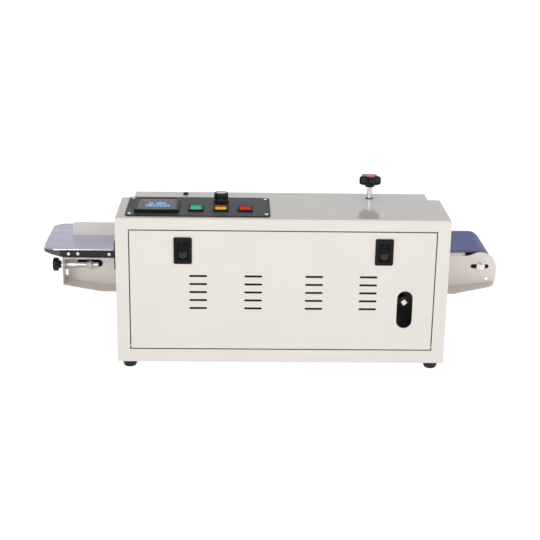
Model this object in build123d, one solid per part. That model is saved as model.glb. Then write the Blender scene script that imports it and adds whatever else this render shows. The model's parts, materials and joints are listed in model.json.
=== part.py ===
from build123d import *
import math
import os

# Continuous band sealer. Millimetres, +Z up, +X the way the bags travel.
# Modelled from the housing: x = 0 at its middle, y = 0 at its door side, z = 0 at the floor.
# save() moves every piece so that the origin is the middle of the machine's footprint.
ORIGIN_X = 12.5
ORIGIN_Y = -188.0

# Housing
HALF_W = 284.0
DEPTH = 130.0
FOOT_H = 14.0
TOP = 274.0
SHEET = 1.5
HOOD_HALF_W = 261.0
HOOD_Y = 171.0
HEAD_PLATE_Y = 126.0
DOOR_HALF_W = 260.0
DOOR_Z = (39.0, 251.0)
DOOR_RETURN_Y = 12.0
HINGE_Y, HINGE_Z = 4.0, 43.0
LATCH_X = (-170.0, 172.0)
LATCH_Z = 216.5
VENT_X = (-144.0, -50.0, 54.0, 147.0)
VENT_Z = 142.3
VENT_PITCH = 14.5
FOOT_X, FOOT_Y = 264.0, (18.0, 112.0)

# Control panel
PANEL_X = (-268.0, -22.0)
PANEL_Y = (8.0, 129.0)
PANEL_T = 1.5
CONTROLLER = (-216.0, 66.0)
CONTROLLER_BEZEL = 76.0
CONTROLLER_CUTOUT = 68.0
ROCKER_X = (-149.2, -106.8, -64.8)
ROCKER_Y = 55.0
ROCKER_TILT = 7.0
KNOB = (-106.7, 100.0)
INLET = (29.0, 201.0)

# Sealing head
SEAL_Z = 190.0
WHEEL_X = 212.0
WHEEL_R = 27.0
SEAL_BELT_T = 0.8
LOWER_Z = 162.0
UPPER_Z = 218.0
BELT_Y = (147.0, 162.0)
SHAFT_R = 5.0
RUN = 0.05
GEAR_MODULE = 2.0
GEAR_TEETH = 28
GEAR_Y = (106.0, 116.0)
PINCH_X = 157.3
PINCH_R = 21.95
PINCH_Z = (167.0, 213.0)
ARM_PIVOT_X = 110.0
ARM_Y = (133.0, 144.0)
SCREW_Y = 138.6

# Chains, pitch 6.35
CHAIN_PITCH = 6.35
CHAIN_ROLLER_R = 1.65
CHAIN_PIN_START = 16.0
MAIN_CHAIN_Y = 99.4
CONVEYOR_CHAIN_Y = 91.4
MAIN_TEETH = 21
CONVEYOR_TEETH = 17
SMALL_TEETH = 13
MOTOR = (100.0, 75.0)

# Conveyor
CONV_SHAFT = (212.0, 121.5)
CONV_BELT_Y = (226.0, 365.0)
CONV_BELT_T = 1.8
ROLLER_R = 23.6
DRIVE_ROLLER_R = 20.0
SNUB_R = 8.0
HEAD = (382.0, 123.0)
TAIL = (-353.0, 123.0)
SNUB_Z = 98.0
SNUB_X = (182.0, 242.0)
NEAR_WEB = (214.0, 215.5)
FAR_WEB = (371.0, 372.5)
FLANGE = 40.0
FLANGE_END = (408.5, 91.6)
WEB_LOW = 80.6
EAR_X, EAR_R = 380.0, 32.0
EAR_Z = (118.8, 114.2)
END_X = -400.0
TENSION_Y = 206.0
TENSION_R = 4.0
TRAY_X = (-437.0, -280.0)
TRAY_Y = (180.0, 349.0)
TRAY_Z = 161.2
TRAY_RIM = 15.0


def box(x, y, z):
    size = Box(x[1] - x[0], y[1] - y[0], z[1] - z[0])
    return Pos((x[0] + x[1]) / 2, (y[0] + y[1]) / 2, (z[0] + z[1]) / 2) * size


def along_y(x, z, r, y):
    return Pos(x, (y[0] + y[1]) / 2, z) * Rot(90, 0, 0) * Cylinder(r, y[1] - y[0])


def along_z(x, y, r, z):
    return Pos(x, y, (z[0] + z[1]) / 2) * Cylinder(r, z[1] - z[0])


def along_x(y, z, r, x):
    return Pos((x[0] + x[1]) / 2, y, z) * Rot(0, 90, 0) * Cylinder(r, x[1] - x[0])


def slab_y(points, y):
    """A closed x-z outline given thickness along y."""
    wire = Wire.make_polygon([(px, y[0], pz) for px, pz in points], close=True)
    return extrude(Face(wire), amount=y[1] - y[0], dir=(0, 1, 0))


def slab_x(points, x):
    """A closed y-z outline given thickness along x."""
    wire = Wire.make_polygon([(x[0], py, pz) for py, pz in points], close=True)
    return extrude(Face(wire), amount=x[1] - x[0], dir=(1, 0, 0))


def slot_y(x, z, length, width, y, upright=False):
    """A round-ended slot cut through along y."""
    reach = (length - width) / 2
    if upright:
        bar = box((x - width / 2, x + width / 2), y, (z - reach, z + reach))
        ends = along_y(x, z - reach, width / 2, y) + along_y(x, z + reach, width / 2, y)
    else:
        bar = box((x - reach, x + reach), y, (z - width / 2, z + width / 2))
        ends = along_y(x - reach, z, width / 2, y) + along_y(x + reach, z, width / 2, y)
    return bar + ends


def plate_z(x, y, z, r):
    """A flat plate with rounded plan corners."""
    size = RectangleRounded(x[1] - x[0], y[1] - y[0], r)
    return Pos((x[0] + x[1]) / 2, (y[0] + y[1]) / 2, z[0]) * extrude(size, z[1] - z[0])


def save(node, shape):
    moved = Pos(ORIGIN_X, ORIGIN_Y, 0) * shape
    export_step(moved, f"parts/{node}.step")


def ring_points(x, z, r, angles):
    return [(x + r * math.cos(a), z + r * math.sin(a)) for a in angles]


def tangents(wheels):
    """Left-hand normals of the belt's straight runs, wheel by wheel, counter-clockwise."""
    normals = []
    for i, (x1, z1, r1, s1) in enumerate(wheels):
        x2, z2, r2, s2 = wheels[(i + 1) % len(wheels)]
        d = math.hypot(x2 - x1, z2 - z1)
        ux, uz = (x2 - x1) / d, (z2 - z1) / d
        lean = (s2 * r2 - s1 * r1) / d
        rest = math.sqrt(1 - lean * lean)
        normals.append((lean * ux - rest * uz, lean * uz + rest * ux))
    return normals


def loop_face(wheels, y):
    """The area inside a belt line led round wheels given as (x, z, radius, side)."""
    normals = tangents(wheels)
    edges = []
    for i, (x, z, r, s) in enumerate(wheels):
        n_in = normals[i - 1]
        n_out = normals[i]
        a_in = math.atan2(n_in[1], n_in[0])
        a_out = math.atan2(n_out[1], n_out[0])
        turn = (s * (a_out - a_in)) % (2 * math.pi)
        mid = a_in + s * turn / 2
        start = (x - s * r * n_in[0], y, z - s * r * n_in[1])
        middle = (x - s * r * math.cos(mid), y, z - s * r * math.sin(mid))
        end = (x - s * r * n_out[0], y, z - s * r * n_out[1])
        edges.append(ThreePointArc(start, middle, end))
        nx, nz, nr, ns = wheels[(i + 1) % len(wheels)]
        after = (nx - ns * nr * n_out[0], y, nz - ns * nr * n_out[1])
        edges.append(Line(end, after))
    return Face(Wire(edges))


def band(wheels, inner, outer, y):
    """A closed belt between two distances from the wheels' surfaces."""
    grown = [(x, z, r + s * outer, s) for x, z, r, s in wheels]
    shrunk = [(x, z, r + s * inner, s) for x, z, r, s in wheels]
    outside = extrude(loop_face(grown, y[0]), amount=y[1] - y[0], dir=(0, 1, 0))
    inside = extrude(loop_face(shrunk, y[0]), amount=y[1] - y[0], dir=(0, 1, 0))
    return outside - inside


def pitch_radius(teeth):
    return CHAIN_PITCH / (2 * math.sin(math.pi / teeth))


# ---------------------------------------------------------------- housing

def case_shell():
    outer = box((-HALF_W, HALF_W), (0, DEPTH), (FOOT_H, TOP))
    top_edges = outer.edges().filter_by(lambda e: e.center().Z > TOP - 1)
    outer = fillet([e for e in top_edges if e.center().Y < DEPTH - 1], 3.0)
    side = HALF_W - SHEET
    shell = outer - box((-side, side), (SHEET, DEPTH + 1), (FOOT_H - 1, TOP - SHEET))
    shell += box((-HOOD_HALF_W, HOOD_HALF_W), (DEPTH - 1, HOOD_Y), (TOP - SHEET, TOP))
    lip_in = HOOD_HALF_W - SHEET
    for s in (-1, 1):
        x = sorted((s * lip_in, s * HOOD_HALF_W))
        shell += box(x, (DEPTH + 0.2, HOOD_Y), (236, TOP - SHEET))
    shell += box((-HOOD_HALF_W, HOOD_HALF_W), (HOOD_Y - SHEET, HOOD_Y), (246, TOP - SHEET))
    opening = DOOR_HALF_W + 2
    shell -= box((-opening, opening), (-1, 3), (DOOR_Z[0] - 2, DOOR_Z[1] + 2))
    shell -= panel_cuts((TOP - 4, TOP + 2))
    shell -= along_z(PINCH_X, SCREW_Y, 5.5, (TOP - 4, TOP + 1))
    shell -= along_z(-171, 154.5, 4.0, (TOP - 4, TOP + 1))
    shell -= box((-HALF_W - 1, -side + 1), (INLET[0] - 12, INLET[0] + 12), (INLET[1] - 19.1, INLET[1] + 19.1))
    return shell - inlet_screw_holes(1.5)


def panel_cuts(z):
    half = CONTROLLER_CUTOUT / 2
    cx, cy = CONTROLLER
    cuts = box((cx - half, cx + half), (cy - half, cy + half), z)
    for x in ROCKER_X:
        cuts += box((x - 11, x + 11), (ROCKER_Y - 14.5, ROCKER_Y + 14.5), z)
    cuts += along_z(KNOB[0], KNOB[1], 4.5, z)
    for x, y in panel_screw_places():
        cuts += along_z(x, y, 1.8, z)
    return cuts


def panel_screw_places():
    xs = (PANEL_X[0] + 7, PANEL_X[1] - 7)
    ys = (PANEL_Y[0] + 12, PANEL_Y[1] - 12)
    return [(x, y) for x in xs for y in ys]


def base_pan():
    side = HALF_W - SHEET - 0.1
    pan = box((-side, side), (SHEET + 0.1, HEAD_PLATE_Y - 0.1), (FOOT_H, FOOT_H + SHEET))
    pan += box((-side, side), (SHEET + 0.1, 2 * SHEET), (FOOT_H, 34))
    for x, y in foot_places():
        pan -= along_z(x, y, 2.2, (FOOT_H - 1, FOOT_H + 3))
    for i in range(10):
        x = -60 + i * 12
        pan -= box((x, x + 4), (40, 90), (FOOT_H - 1, FOOT_H + 3))
    return pan


def foot_places():
    return [(s * FOOT_X, y) for s in (-1, 1) for y in FOOT_Y]


def feet():
    group = []
    for x, y in foot_places():
        foot = Pos(x, y, FOOT_H / 2) * Cone(8.6, 12.0, FOOT_H)
        foot -= along_z(x, y, 5.0, (-1, 6))
        foot -= along_z(x, y, 2.2, (5, FOOT_H + 1))
        group.append(foot)
    return Compound(group)


def foot_screws():
    group = []
    for x, y in foot_places():
        screw = along_z(x, y, 2.0, (6, 21)) + along_z(x, y, 4.2, (3.4, 6))
        nut = Pos(x, y, FOOT_H + SHEET) * extrude(RegularPolygon(4.2, 6), 3)
        group.append(screw + nut)
    return Compound(group)


def shaft_places():
    return [(s * WHEEL_X, z) for s in (-1, 1) for z in (LOWER_Z, UPPER_Z)]


def head_plate():
    side = HALF_W - SHEET - 0.1
    plate = box((-side, side), (HEAD_PLATE_Y, DEPTH), (FOOT_H + 0.1, TOP - SHEET - 0.1))
    for x, z in shaft_places():
        plate -= along_y(x, z, 11.0, (HEAD_PLATE_Y - 1, DEPTH + 1))
    plate -= along_y(CONV_SHAFT[0], CONV_SHAFT[1], 12.0, (HEAD_PLATE_Y - 1, DEPTH + 1))
    for x in (-100, 35):
        plate -= slot_y(x, 190, 60, 12, (HEAD_PLATE_Y - 1, DEPTH + 1))
    return plate


def head_bearings():
    group = []
    for x, z in shaft_places():
        bearing = along_y(x, z, 11.0, (119, 134)) + along_y(x, z, 16.0, (DEPTH, 133))
        bearing -= along_y(x, z, SHAFT_R + RUN, (118, 135))
        group.append(bearing)
    x, z = CONV_SHAFT
    low = along_y(x, z, 12.0, (119, 133)) + along_y(x, z, 17.0, (DEPTH, 133))
    group.append(low - along_y(x, z, 6 + RUN, (118, 134)))
    return Compound(group)


def power_inlet():
    y, z = INLET
    wall = -HALF_W
    body = box((wall - 3, wall), (y - 14.5, y + 14.5), (z - 24, z + 24))
    body = fillet(body.edges().filter_by(Axis.X), 4)
    body += box((wall - 0.5, wall + 24), (y - 11.5, y + 11.5), (z - 18.5, z + 18.5))
    body -= box((wall - 4, wall + 16), (y - 8.5, y + 8.5), (z - 12.5, z + 12.5))
    body += box((wall, wall + 16), (y - 3, y + 3), (z - 8.5, z + 8.5))
    return body - inlet_screw_holes(1.5) - inlet_pins()


def inlet_screw_places():
    return (INLET[1] - 21.3, INLET[1] + 21.3)


def inlet_screw_holes(r):
    low, high = inlet_screw_places()
    reach = (-HALF_W - 4, -HALF_W + 5)
    return along_x(INLET[0], low, r, reach) + along_x(INLET[0], high, r, reach)


def inlet_pins():
    pins = []
    for across, up in ((-5.8, 0), (5.8, -5.5), (5.8, 5.5)):
        y = INLET[0] + across
        z = INLET[1] + up
        pins.append(box((-HALF_W + 2, -HALF_W + 34), (y - 1, y + 1), (z - 2, z + 2)))
    return Compound(pins)


def inlet_screws():
    group = []
    for z in inlet_screw_places():
        head = along_x(INLET[0], z, 2.8, (-HALF_W - 4.2, -HALF_W - 3))
        group.append(head + along_x(INLET[0], z, 1.5, (-HALF_W - 3, -HALF_W + 1.4)))
    return Compound(group)


# ---------------------------------------------------------------- control panel

def panel_plate():
    plate = plate_z(PANEL_X, PANEL_Y, (TOP, TOP + PANEL_T), 8)
    return plate - panel_cuts((TOP - 1, TOP + 3))


def panel_screws():
    group = []
    top = TOP + PANEL_T
    for x, y in panel_screw_places():
        head = along_z(x, y, 3.5, (top, top + 1.8))
        head -= box((x - 2.4, x + 2.4), (y - 0.4, y + 0.4), (top + 1, top + 2))
        group.append(head + along_z(x, y, 1.7, (TOP - 6, top)))
    return Compound(group)


def controller_body():
    cx, cy = CONTROLLER
    top = TOP + PANEL_T
    half = CONTROLLER_BEZEL / 2
    bezel = plate_z((cx - half, cx + half), (cy - half, cy + half), (top, top + 5), 3)
    bezel -= plate_z((cx - 33, cx + 33), (cy - 34, cy + 34), (top + 2, top + 6), 2)
    inner = CONTROLLER_CUTOUT / 2 - 0.3
    body = bezel + box((cx - inner, cx + inner), (cy - inner, cy + inner), (196, top))
    for i in range(7):
        z = 205 + i * 8
        body -= box((cx - 20, cx + 20), (cy - 40, cy - inner + 1.5), (z, z + 3))
    return body


def controller_face():
    cx, cy = CONTROLLER
    z = TOP + PANEL_T + 2
    return plate_z((cx - 32.9, cx + 32.9), (cy - 33.9, cy + 33.9), (z, z + 2.2), 1.9)


def controller_terminals():
    cx, cy = CONTROLLER
    strip = box((cx - 30, cx + 30), (cy - 25, cy + 25), (188, 196))
    for i in range(9):
        x = cx - 27 + i * 6.75
        strip -= box((x - 2.4, x + 2.4), (cy - 26, cy - 15), (187, 194))
        strip -= box((x - 2.4, x + 2.4), (cy + 15, cy + 26), (187, 194))
    return strip


def switch_housings():
    group = []
    top = TOP + PANEL_T
    for x in ROCKER_X:
        frame = plate_z((x - 13.5, x + 13.5), (ROCKER_Y - 17, ROCKER_Y + 17), (top, top + 2.4), 2)
        body = box((x - 10.8, x + 10.8), (ROCKER_Y - 14.3, ROCKER_Y + 14.3), (250, top))
        well = box((x - 9.8, x + 9.8), (ROCKER_Y - 13.8, ROCKER_Y + 13.8), (262, top + 3))
        group.append(frame + body - well)
    return Compound(group)


def switch_tabs():
    group = []
    for x in ROCKER_X:
        for y in (ROCKER_Y - 8, ROCKER_Y, ROCKER_Y + 8):
            group.append(box((x - 2.4, x + 2.4), (y - 0.4, y + 0.4), (242, 250)))
    return Compound(group)


def rocker(x):
    """Two-facet rocker with pivot pips, tilted to its on position; it turns about the x line at z = 271.5."""
    pivot_z = TOP - 2.5
    tip = 12.9
    outline = [(-tip, 5.0), (0, 7.0), (tip, 5.0), (tip - 1.5, -1.5), (4, -5), (-4, -5), (-tip + 1.5, -1.5)]
    half = 9.6
    lens = slab_x(outline, (-half, half))
    lens += along_x(0, 0, 1.6, (-half - 0.15, half + 0.15))
    return Pos(x, ROCKER_Y, pivot_z) * Rot(ROCKER_TILT, 0, 0) * lens


def speed_knob():
    x, y = KNOB
    base = TOP + PANEL_T + 0.6
    knob = along_z(x, y, 13.5, (base, base + 3.5))
    knob += Pos(x, y, base + 3.5 + 6.5) * Cone(12.6, 11.9, 13)
    for i in range(24):
        a = i * math.pi / 12
        knob -= along_z(x + 12.9 * math.cos(a), y + 12.9 * math.sin(a), 0.8, (base + 4, base + 15.2))
    knob -= along_z(x, y, 3.0, (base - 1, base + 13))
    return knob - along_z(x, y, 8.6, (base + 15.7, base + 17))


def speed_knob_cap():
    x, y = KNOB
    top = TOP + PANEL_T + 0.6 + 15.7
    cap = along_z(x, y, 8.55, (top, top + 1.1))
    return cap - box((x - 0.6, x + 0.6), (y + 2, y + 9), (top + 0.7, top + 2))


def speed_spindle():
    x, y = KNOB
    return along_z(x, y, 3.0, (TOP - 18, TOP + PANEL_T + 13))


def potentiometer():
    x, y = KNOB
    can = along_z(x, y, 8.5, (TOP - 20, TOP - 8)) + along_z(x, y, 4.4, (TOP - 8, TOP + PANEL_T + 0.5))
    lugs = box((x - 6, x + 6), (y - 15, y - 8), (TOP - 12, TOP - 10.8))
    return can + lugs - along_z(x, y, 3.0 + RUN, (TOP - 19, TOP + 4))


# ---------------------------------------------------------------- door

def door_panel():
    z0, z1 = DOOR_Z
    w = DOOR_HALF_W
    door = box((-w, w), (0, DOOR_RETURN_Y), (z0, z1))
    door -= box((-w + SHEET, w - SHEET), (SHEET, DOOR_RETURN_Y + 1), (z0 + SHEET, z1 - SHEET))
    for x in VENT_X:
        for row in range(5):
            z = VENT_Z + (row - 2) * VENT_PITCH
            door -= slot_y(x, z, 30.5, 3.8, (-1, 3))
    door -= slot_y(211.3, 112.8, 67.6, 27, (-1, 3), upright=True)
    for x in LATCH_X:
        door -= box((x - 14, x + 14), (-1, 3), (LATCH_Z - 21.5, LATCH_Z + 21.5))
        door -= box((x - 9, x + 9), (1.7, 7.2), (z1 - 3, z1 + 1))
    for s in (-1, 1):
        door -= along_x(HINGE_Y, HINGE_Z, 2.0 + RUN, sorted((s * (w - 3), s * (w + 1))))
    return door


def latch_bodies():
    group = []
    for x in LATCH_X:
        z = LATCH_Z
        body = box((x - 15.5, x + 15.5), (-2, 0), (z - 23.5, z + 23.5))
        body = fillet(body.edges().filter_by(Axis.Y), 2.5)
        body += box((x - 13.9, x + 13.9), (0, 10), (z - 21.4, z + 21.4))
        body -= box((x - 11, x + 11), (-3, 1.6), (z - 17, z + 15))
        body -= box((x - 8, x + 8), (1.5, 6.6), (z - 15, z + 22))
        body -= box((x - 8, x + 8), (1.0, 6.6), (z - 14, z + 12))
        group.append(body)
    return Compound(group)


def latch_slider(x):
    """Thumb piece and bolt in one; it moves up 6 to lock."""
    z = LATCH_Z
    grip = box((x - 7.8, x + 7.8), (1.6, 3.6), (z - 13, z + 10))
    for i in range(5):
        rise = z - 9 + 3.2 * i
        grip += box((x - 6.5, x + 6.5), (-1.4, 1.7), (rise, rise + 1.6))
    bolt = box((x - 7.8, x + 7.8), (3.4, 6.0), (z - 13, DOOR_Z[1] - 0.6))
    return grip + bolt


def hinge_ears():
    group = []
    for s in (-1, 1):
        x = sorted((s * (DOOR_HALF_W + 2.6), s * (DOOR_HALF_W + 4.4)))
        ear = box(x, (SHEET, 10), (37, 50))
        pin = along_x(HINGE_Y, HINGE_Z, 2.0, sorted((s * (DOOR_HALF_W - 5), s * (DOOR_HALF_W + 4.4))))
        group.append(ear + pin)
    return Compound(group)


# ---------------------------------------------------------------- drive

def involute_point(base_r, t):
    return (base_r * (math.cos(t) + t * math.sin(t)), base_r * (math.sin(t) - t * math.cos(t)))


def gear(x, z, phase):
    """Spur gear, twenty-degree involute teeth with a little backlash."""
    m, n = GEAR_MODULE, GEAR_TEETH
    pitch_r = m * n / 2
    base_r = pitch_r * math.cos(math.radians(20))
    tip_r = pitch_r + m
    root_r = pitch_r - 1.25 * m
    t_pitch = math.tan(math.radians(20))
    half_tooth = math.pi / (2 * n) - 0.125 / pitch_r + t_pitch - math.radians(20)
    t_tip = math.sqrt((tip_r / base_r) ** 2 - 1)
    points = []
    for k in range(n):
        centre = phase + 2 * math.pi * k / n
        flank = []
        for i in range(5):
            px, py = involute_point(base_r, t_tip * i / 4)
            flank.append((math.hypot(px, py), math.atan2(py, px)))
        flank[0] = (max(root_r, 0), 0.0)
        points += [(x + r * math.cos(centre - half_tooth + a), z + r * math.sin(centre - half_tooth + a))
                   for r, a in flank]
        points += [(x + r * math.cos(centre + half_tooth - a), z + r * math.sin(centre + half_tooth - a))
                   for r, a in reversed(flank)]
    body = slab_y(points, GEAR_Y) - along_y(x, z, SHAFT_R, (GEAR_Y[0] - 1, GEAR_Y[1] + 1))
    for i in range(6):
        a = phase + i * math.pi / 3
        body -= along_y(x + 16 * math.cos(a), z + 16 * math.sin(a), 4.5, (GEAR_Y[0] - 1, GEAR_Y[1] + 1))
    return body


def sprocket(x, z, teeth, y_mid, bore):
    """Chain wheel: a disc with one roller seat per tooth, and a hub to one side."""
    r = pitch_radius(teeth)
    y = (y_mid - 1.4, y_mid + 1.4)
    wheel = along_y(x, z, r + 1.9, y) + along_y(x, z, bore + 3.5, (y_mid - 4, y_mid + 1.4))
    for k in range(teeth):
        a = 2 * math.pi * (k + 0.5) / teeth
        wheel -= along_y(x + r * math.cos(a), z + r * math.sin(a), CHAIN_ROLLER_R + 0.15, y)
    return wheel - along_y(x, z, bore, (y_mid - 5, y_mid + 5))


def chain(wheels, y_mid):
    """Outer and inner side plates led round the sprockets, with pins across the straight runs."""
    plates = []
    for y in ((y_mid - 2.6, y_mid - 1.6), (y_mid + 1.6, y_mid + 2.6)):
        plates.append(band(wheels, -2.4, 2.4, y))
    normals = tangents(wheels)
    for i, (x, z, r, s) in enumerate(wheels):
        nx, nz = normals[i]
        x2, z2, r2, s2 = wheels[(i + 1) % len(wheels)]
        start = (x - s * r * nx, z - s * r * nz)
        end = (x2 - s2 * r2 * nx, z2 - s2 * r2 * nz)
        length = math.hypot(end[0] - start[0], end[1] - start[1])
        count = int((length - 2 * CHAIN_PIN_START) / CHAIN_PITCH) + 1
        for k in range(count):
            f = (CHAIN_PIN_START + k * CHAIN_PITCH) / length
            px = start[0] + (end[0] - start[0]) * f
            pz = start[1] + (end[1] - start[1]) * f
            plates[0] += along_y(px, pz, CHAIN_ROLLER_R, (y_mid - 1.6, y_mid + 1.6))
    joined = plates[0] + plates[1]
    return joined


def wheel(x, z):
    """Rubber-tyred seal belt wheel with a spoked face."""
    body = along_y(x, z, WHEEL_R - RUN, BELT_Y) - along_y(x, z, SHAFT_R, (140, 170))
    body -= along_y(x, z, 21, (158, 163)) - along_y(x, z, 10, (158, 163))
    for i in range(5):
        a = math.pi / 2 + i * math.tau / 5
        body -= along_y(x + 15.5 * math.cos(a), z + 15.5 * math.sin(a), 3.8, (146, 163))
    return body


def lower_drive_shaft():
    x, z = WHEEL_X, LOWER_Z
    return along_y(x, z, SHAFT_R, (84, 162)) + along_y(x, z, 8, (162, 165))


def upper_drive_shaft():
    x, z = WHEEL_X, UPPER_Z
    return along_y(x, z, SHAFT_R, (100, 162)) + along_y(x, z, 8, (162, 165))


def driven_shaft(z):
    x = -WHEEL_X
    shaft = along_y(x, z, SHAFT_R, (114, 162)) + along_y(x, z, 8, (162, 165))
    return shaft + along_y(x, z, 8, (114, 118))


def seal_belt(z):
    wheels = [(-WHEEL_X, z, WHEEL_R, 1), (WHEEL_X, z, WHEEL_R, 1)]
    return band(wheels, 0, SEAL_BELT_T, BELT_Y)


def seal_block(x, upper, fins):
    """Aluminium heating or cooling block, 0.1 clear of its belt."""
    y = (148, 161)
    if upper:
        block = box(x, y, (SEAL_Z + 1.1, SEAL_Z + 23))
        back = (SEAL_Z + 9, SEAL_Z + 24)
    else:
        block = box(x, y, (SEAL_Z - 23, SEAL_Z - 1.1))
        back = (SEAL_Z - 24, SEAL_Z - 9)
    if fins:
        for i in range(9):
            start = x[0] + 4 + i * 7.2
            block -= box((start, start + 4), (147, 162), back)
    else:
        z = SEAL_Z + (11 if upper else -11)
        block -= along_x(154.5, z, 4, (x[0] - 1, x[1] + 1))
    return block


def seal_blocks():
    group = []
    for upper in (True, False):
        group.append(seal_block((-150, -40), upper, False))
        group.append(seal_block((0, 70), upper, True))
    return Compound(group)


def drive_chains():
    big, middle = pitch_radius(MAIN_TEETH), pitch_radius(CONVEYOR_TEETH)
    small = pitch_radius(SMALL_TEETH)
    main_run = [(MOTOR[0], MOTOR[1], small, 1), (WHEEL_X, LOWER_Z, big, 1)]
    conveyor_run = [(CONV_SHAFT[0], CONV_SHAFT[1], small, 1), (WHEEL_X, LOWER_Z, middle, 1)]
    return Compound([chain(main_run, MAIN_CHAIN_Y), chain(conveyor_run, CONVEYOR_CHAIN_Y)])


def block_posts():
    group = []
    for x in (-135, -55, 10, 60):
        for z in (SEAL_Z + 5, SEAL_Z - 5):
            group.append(along_y(x, z, 2.5, (DEPTH, 148)))
    return Compound(group)


def heater_cartridges():
    group = []
    for z in (SEAL_Z + 11, SEAL_Z - 11):
        group.append(along_x(154.5, z, 4, (-156, -38)))
    return Compound(group)


def pinch_wheel(z):
    body = along_y(PINCH_X, z, PINCH_R, BELT_Y) - along_y(PINCH_X, z, 4 + RUN, (140, 170))
    body -= along_y(PINCH_X, z, 16, (159, 163)) - along_y(PINCH_X, z, 8, (159, 163))
    for i in range(36):
        a = i * math.pi / 18
        cut = along_y(PINCH_X + 22.2 * math.cos(a), z + 22.2 * math.sin(a), 0.6, BELT_Y)
        body -= cut
    return body


def lower_pinch_axle():
    z = PINCH_Z[0]
    axle = along_y(PINCH_X, z, 4, (DEPTH, 162.2)) + along_y(PINCH_X, z, 7, (162.2, 165))
    return axle + along_y(PINCH_X, z, 7, (DEPTH, 146.8))


def press_arm():
    z = PINCH_Z[1]
    arm = along_y(ARM_PIVOT_X, z, 8, ARM_Y) + along_y(PINCH_X, z, 8, ARM_Y)
    arm += box((ARM_PIVOT_X, PINCH_X), ARM_Y, (z - 8, z + 8))
    arm -= along_y(ARM_PIVOT_X, z, 4 + RUN, (130, 150))
    arm += along_y(PINCH_X, z, 4, (ARM_Y[1] - 1, 162.2)) + along_y(PINCH_X, z, 7, (162.2, 165))
    return arm + along_z(PINCH_X, SCREW_Y, 3.2, (z + 7, z + 10))


def arm_pin():
    z = PINCH_Z[1]
    pin = along_y(ARM_PIVOT_X, z, 4, (DEPTH, 144.2)) + along_y(ARM_PIVOT_X, z, 7, (144.2, 147))
    return pin + along_y(ARM_PIVOT_X, z, 8, (DEPTH, 132.8))


def pressure_spring():
    low = PINCH_Z[1] + 8.9
    helix = Helix(pitch=2.9, height=11.6, radius=4.6, center=(PINCH_X, SCREW_Y, low))
    section = Plane(origin=helix @ 0, z_dir=helix % 0) * Circle(0.8)
    return sweep(section, path=helix)


def pressure_cap():
    cap = along_z(PINCH_X, SCREW_Y, 6.2, (234.4, 238))
    return cap + along_z(PINCH_X, SCREW_Y, 3.0, (231, 234.4))


def pressure_bracket():
    bracket = box((PINCH_X - 11, PINCH_X + 11), (DEPTH, 146.4), (248, 258))
    bracket -= along_z(PINCH_X, SCREW_Y, 4.25 + RUN, (247, 259))
    return bracket


def pressure_screw():
    return along_z(PINCH_X, SCREW_Y, 4.25, (238.05, 300))


def pressure_knob():
    x, y = PINCH_X, SCREW_Y
    knob = along_z(x, y, 9.5, (296, 317)) + along_z(x, y, 15, (300, 316))
    for i in range(5):
        a = -math.pi / 2 + i * math.tau / 5
        knob += along_z(x + 13.5 * math.cos(a), y + 13.5 * math.sin(a), 6.5, (300, 316))
    return knob - along_z(x, y, 4.25, (295, 300))


def pressure_knob_cap():
    x, y = PINCH_X, SCREW_Y
    return along_z(x, y, 9.5, (317, 317.8))


# ---------------------------------------------------------------- motor and electrics

def gear_motor():
    x, z = MOTOR
    motor = along_y(x, z, 29, (14, 62)) + along_y(x, z, 18, (10, 14))
    box_part = box((x - 34, x + 34), (62, 90), (z - 34, z + 34))
    box_part = chamfer(box_part.edges().filter_by(Axis.Y), 8)
    body = motor + box_part + along_y(x, z, 14, (90, 92))
    return body - along_y(x, z, SHAFT_R + RUN, (70, 93))


def motor_bracket():
    x, z = MOTOR
    plate = box((x - 40, x + 40), (90, 93), (FOOT_H + SHEET, z + 38))
    plate += box((x - 40, x + 40), (60, 90), (FOOT_H + SHEET, FOOT_H + SHEET + 3))
    return plate - along_y(x, z, 14, (89, 94))


def motor_shaft():
    return along_y(MOTOR[0], MOTOR[1], SHAFT_R, (71, 105))


def fan_frame():
    frame = box((-40, 40), (16, 41), (102, 182))
    frame = fillet(frame.edges().filter_by(Axis.Y), 5)
    frame -= along_y(0, 142, 38, (15, 42))
    for i in range(4):
        a = math.pi / 4 + i * math.pi / 2
        rib = Pos(0, 39.5, 142) * Rot(0, math.degrees(a), 0) * Box(78, 3, 4)
        frame += rib & along_y(0, 142, 38.5, (15, 42))
        frame -= along_y(50.2 * math.cos(a), 142 + 50.2 * math.sin(a), 2.1, (15, 42))
    return frame + along_y(0, 142, 14, (38, 41))


def fan_rotor():
    rotor = along_y(0, 142, 15, (18, 37.8))
    for i in range(7):
        blade = Pos(0, 28, 142) * Rot(0, i * 360 / 7, 0) * Pos(25.5, 0, 0) * Rot(40, 0, 0)
        rotor += blade * Box(22, 1.6, 20)
    return rotor & along_y(0, 142, 37, (17, 37.8))


def fan_bracket():
    bar = box((-44, 44), (41, 42.5), (FOOT_H + SHEET, 110))
    bar += box((-44, 44), (42.5, 60), (FOOT_H + SHEET, FOOT_H + 2 * SHEET))
    return bar - along_y(0, 142, 39, (40, 43))


def control_board():
    return box((-262, -150), (48, 112), (26, 27.6))


def board_parts():
    group = [box((-256, -216), (56, 100), (27.6, 62))]
    group.append(box((-205, -190), (60, 96), (27.6, 50)))
    for i in range(3):
        group.append(along_z(-176, 62 + i * 18, 6.5, (27.6, 46)))
    group.append(box((-160, -153), (55, 105), (27.6, 38)))
    return Compound(group)


def board_posts():
    group = []
    for x in (-258, -154):
        for y in (52, 108):
            group.append(along_z(x, y, 3, (FOOT_H + SHEET, 26)))
    return Compound(group)


# ---------------------------------------------------------------- conveyor

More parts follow.
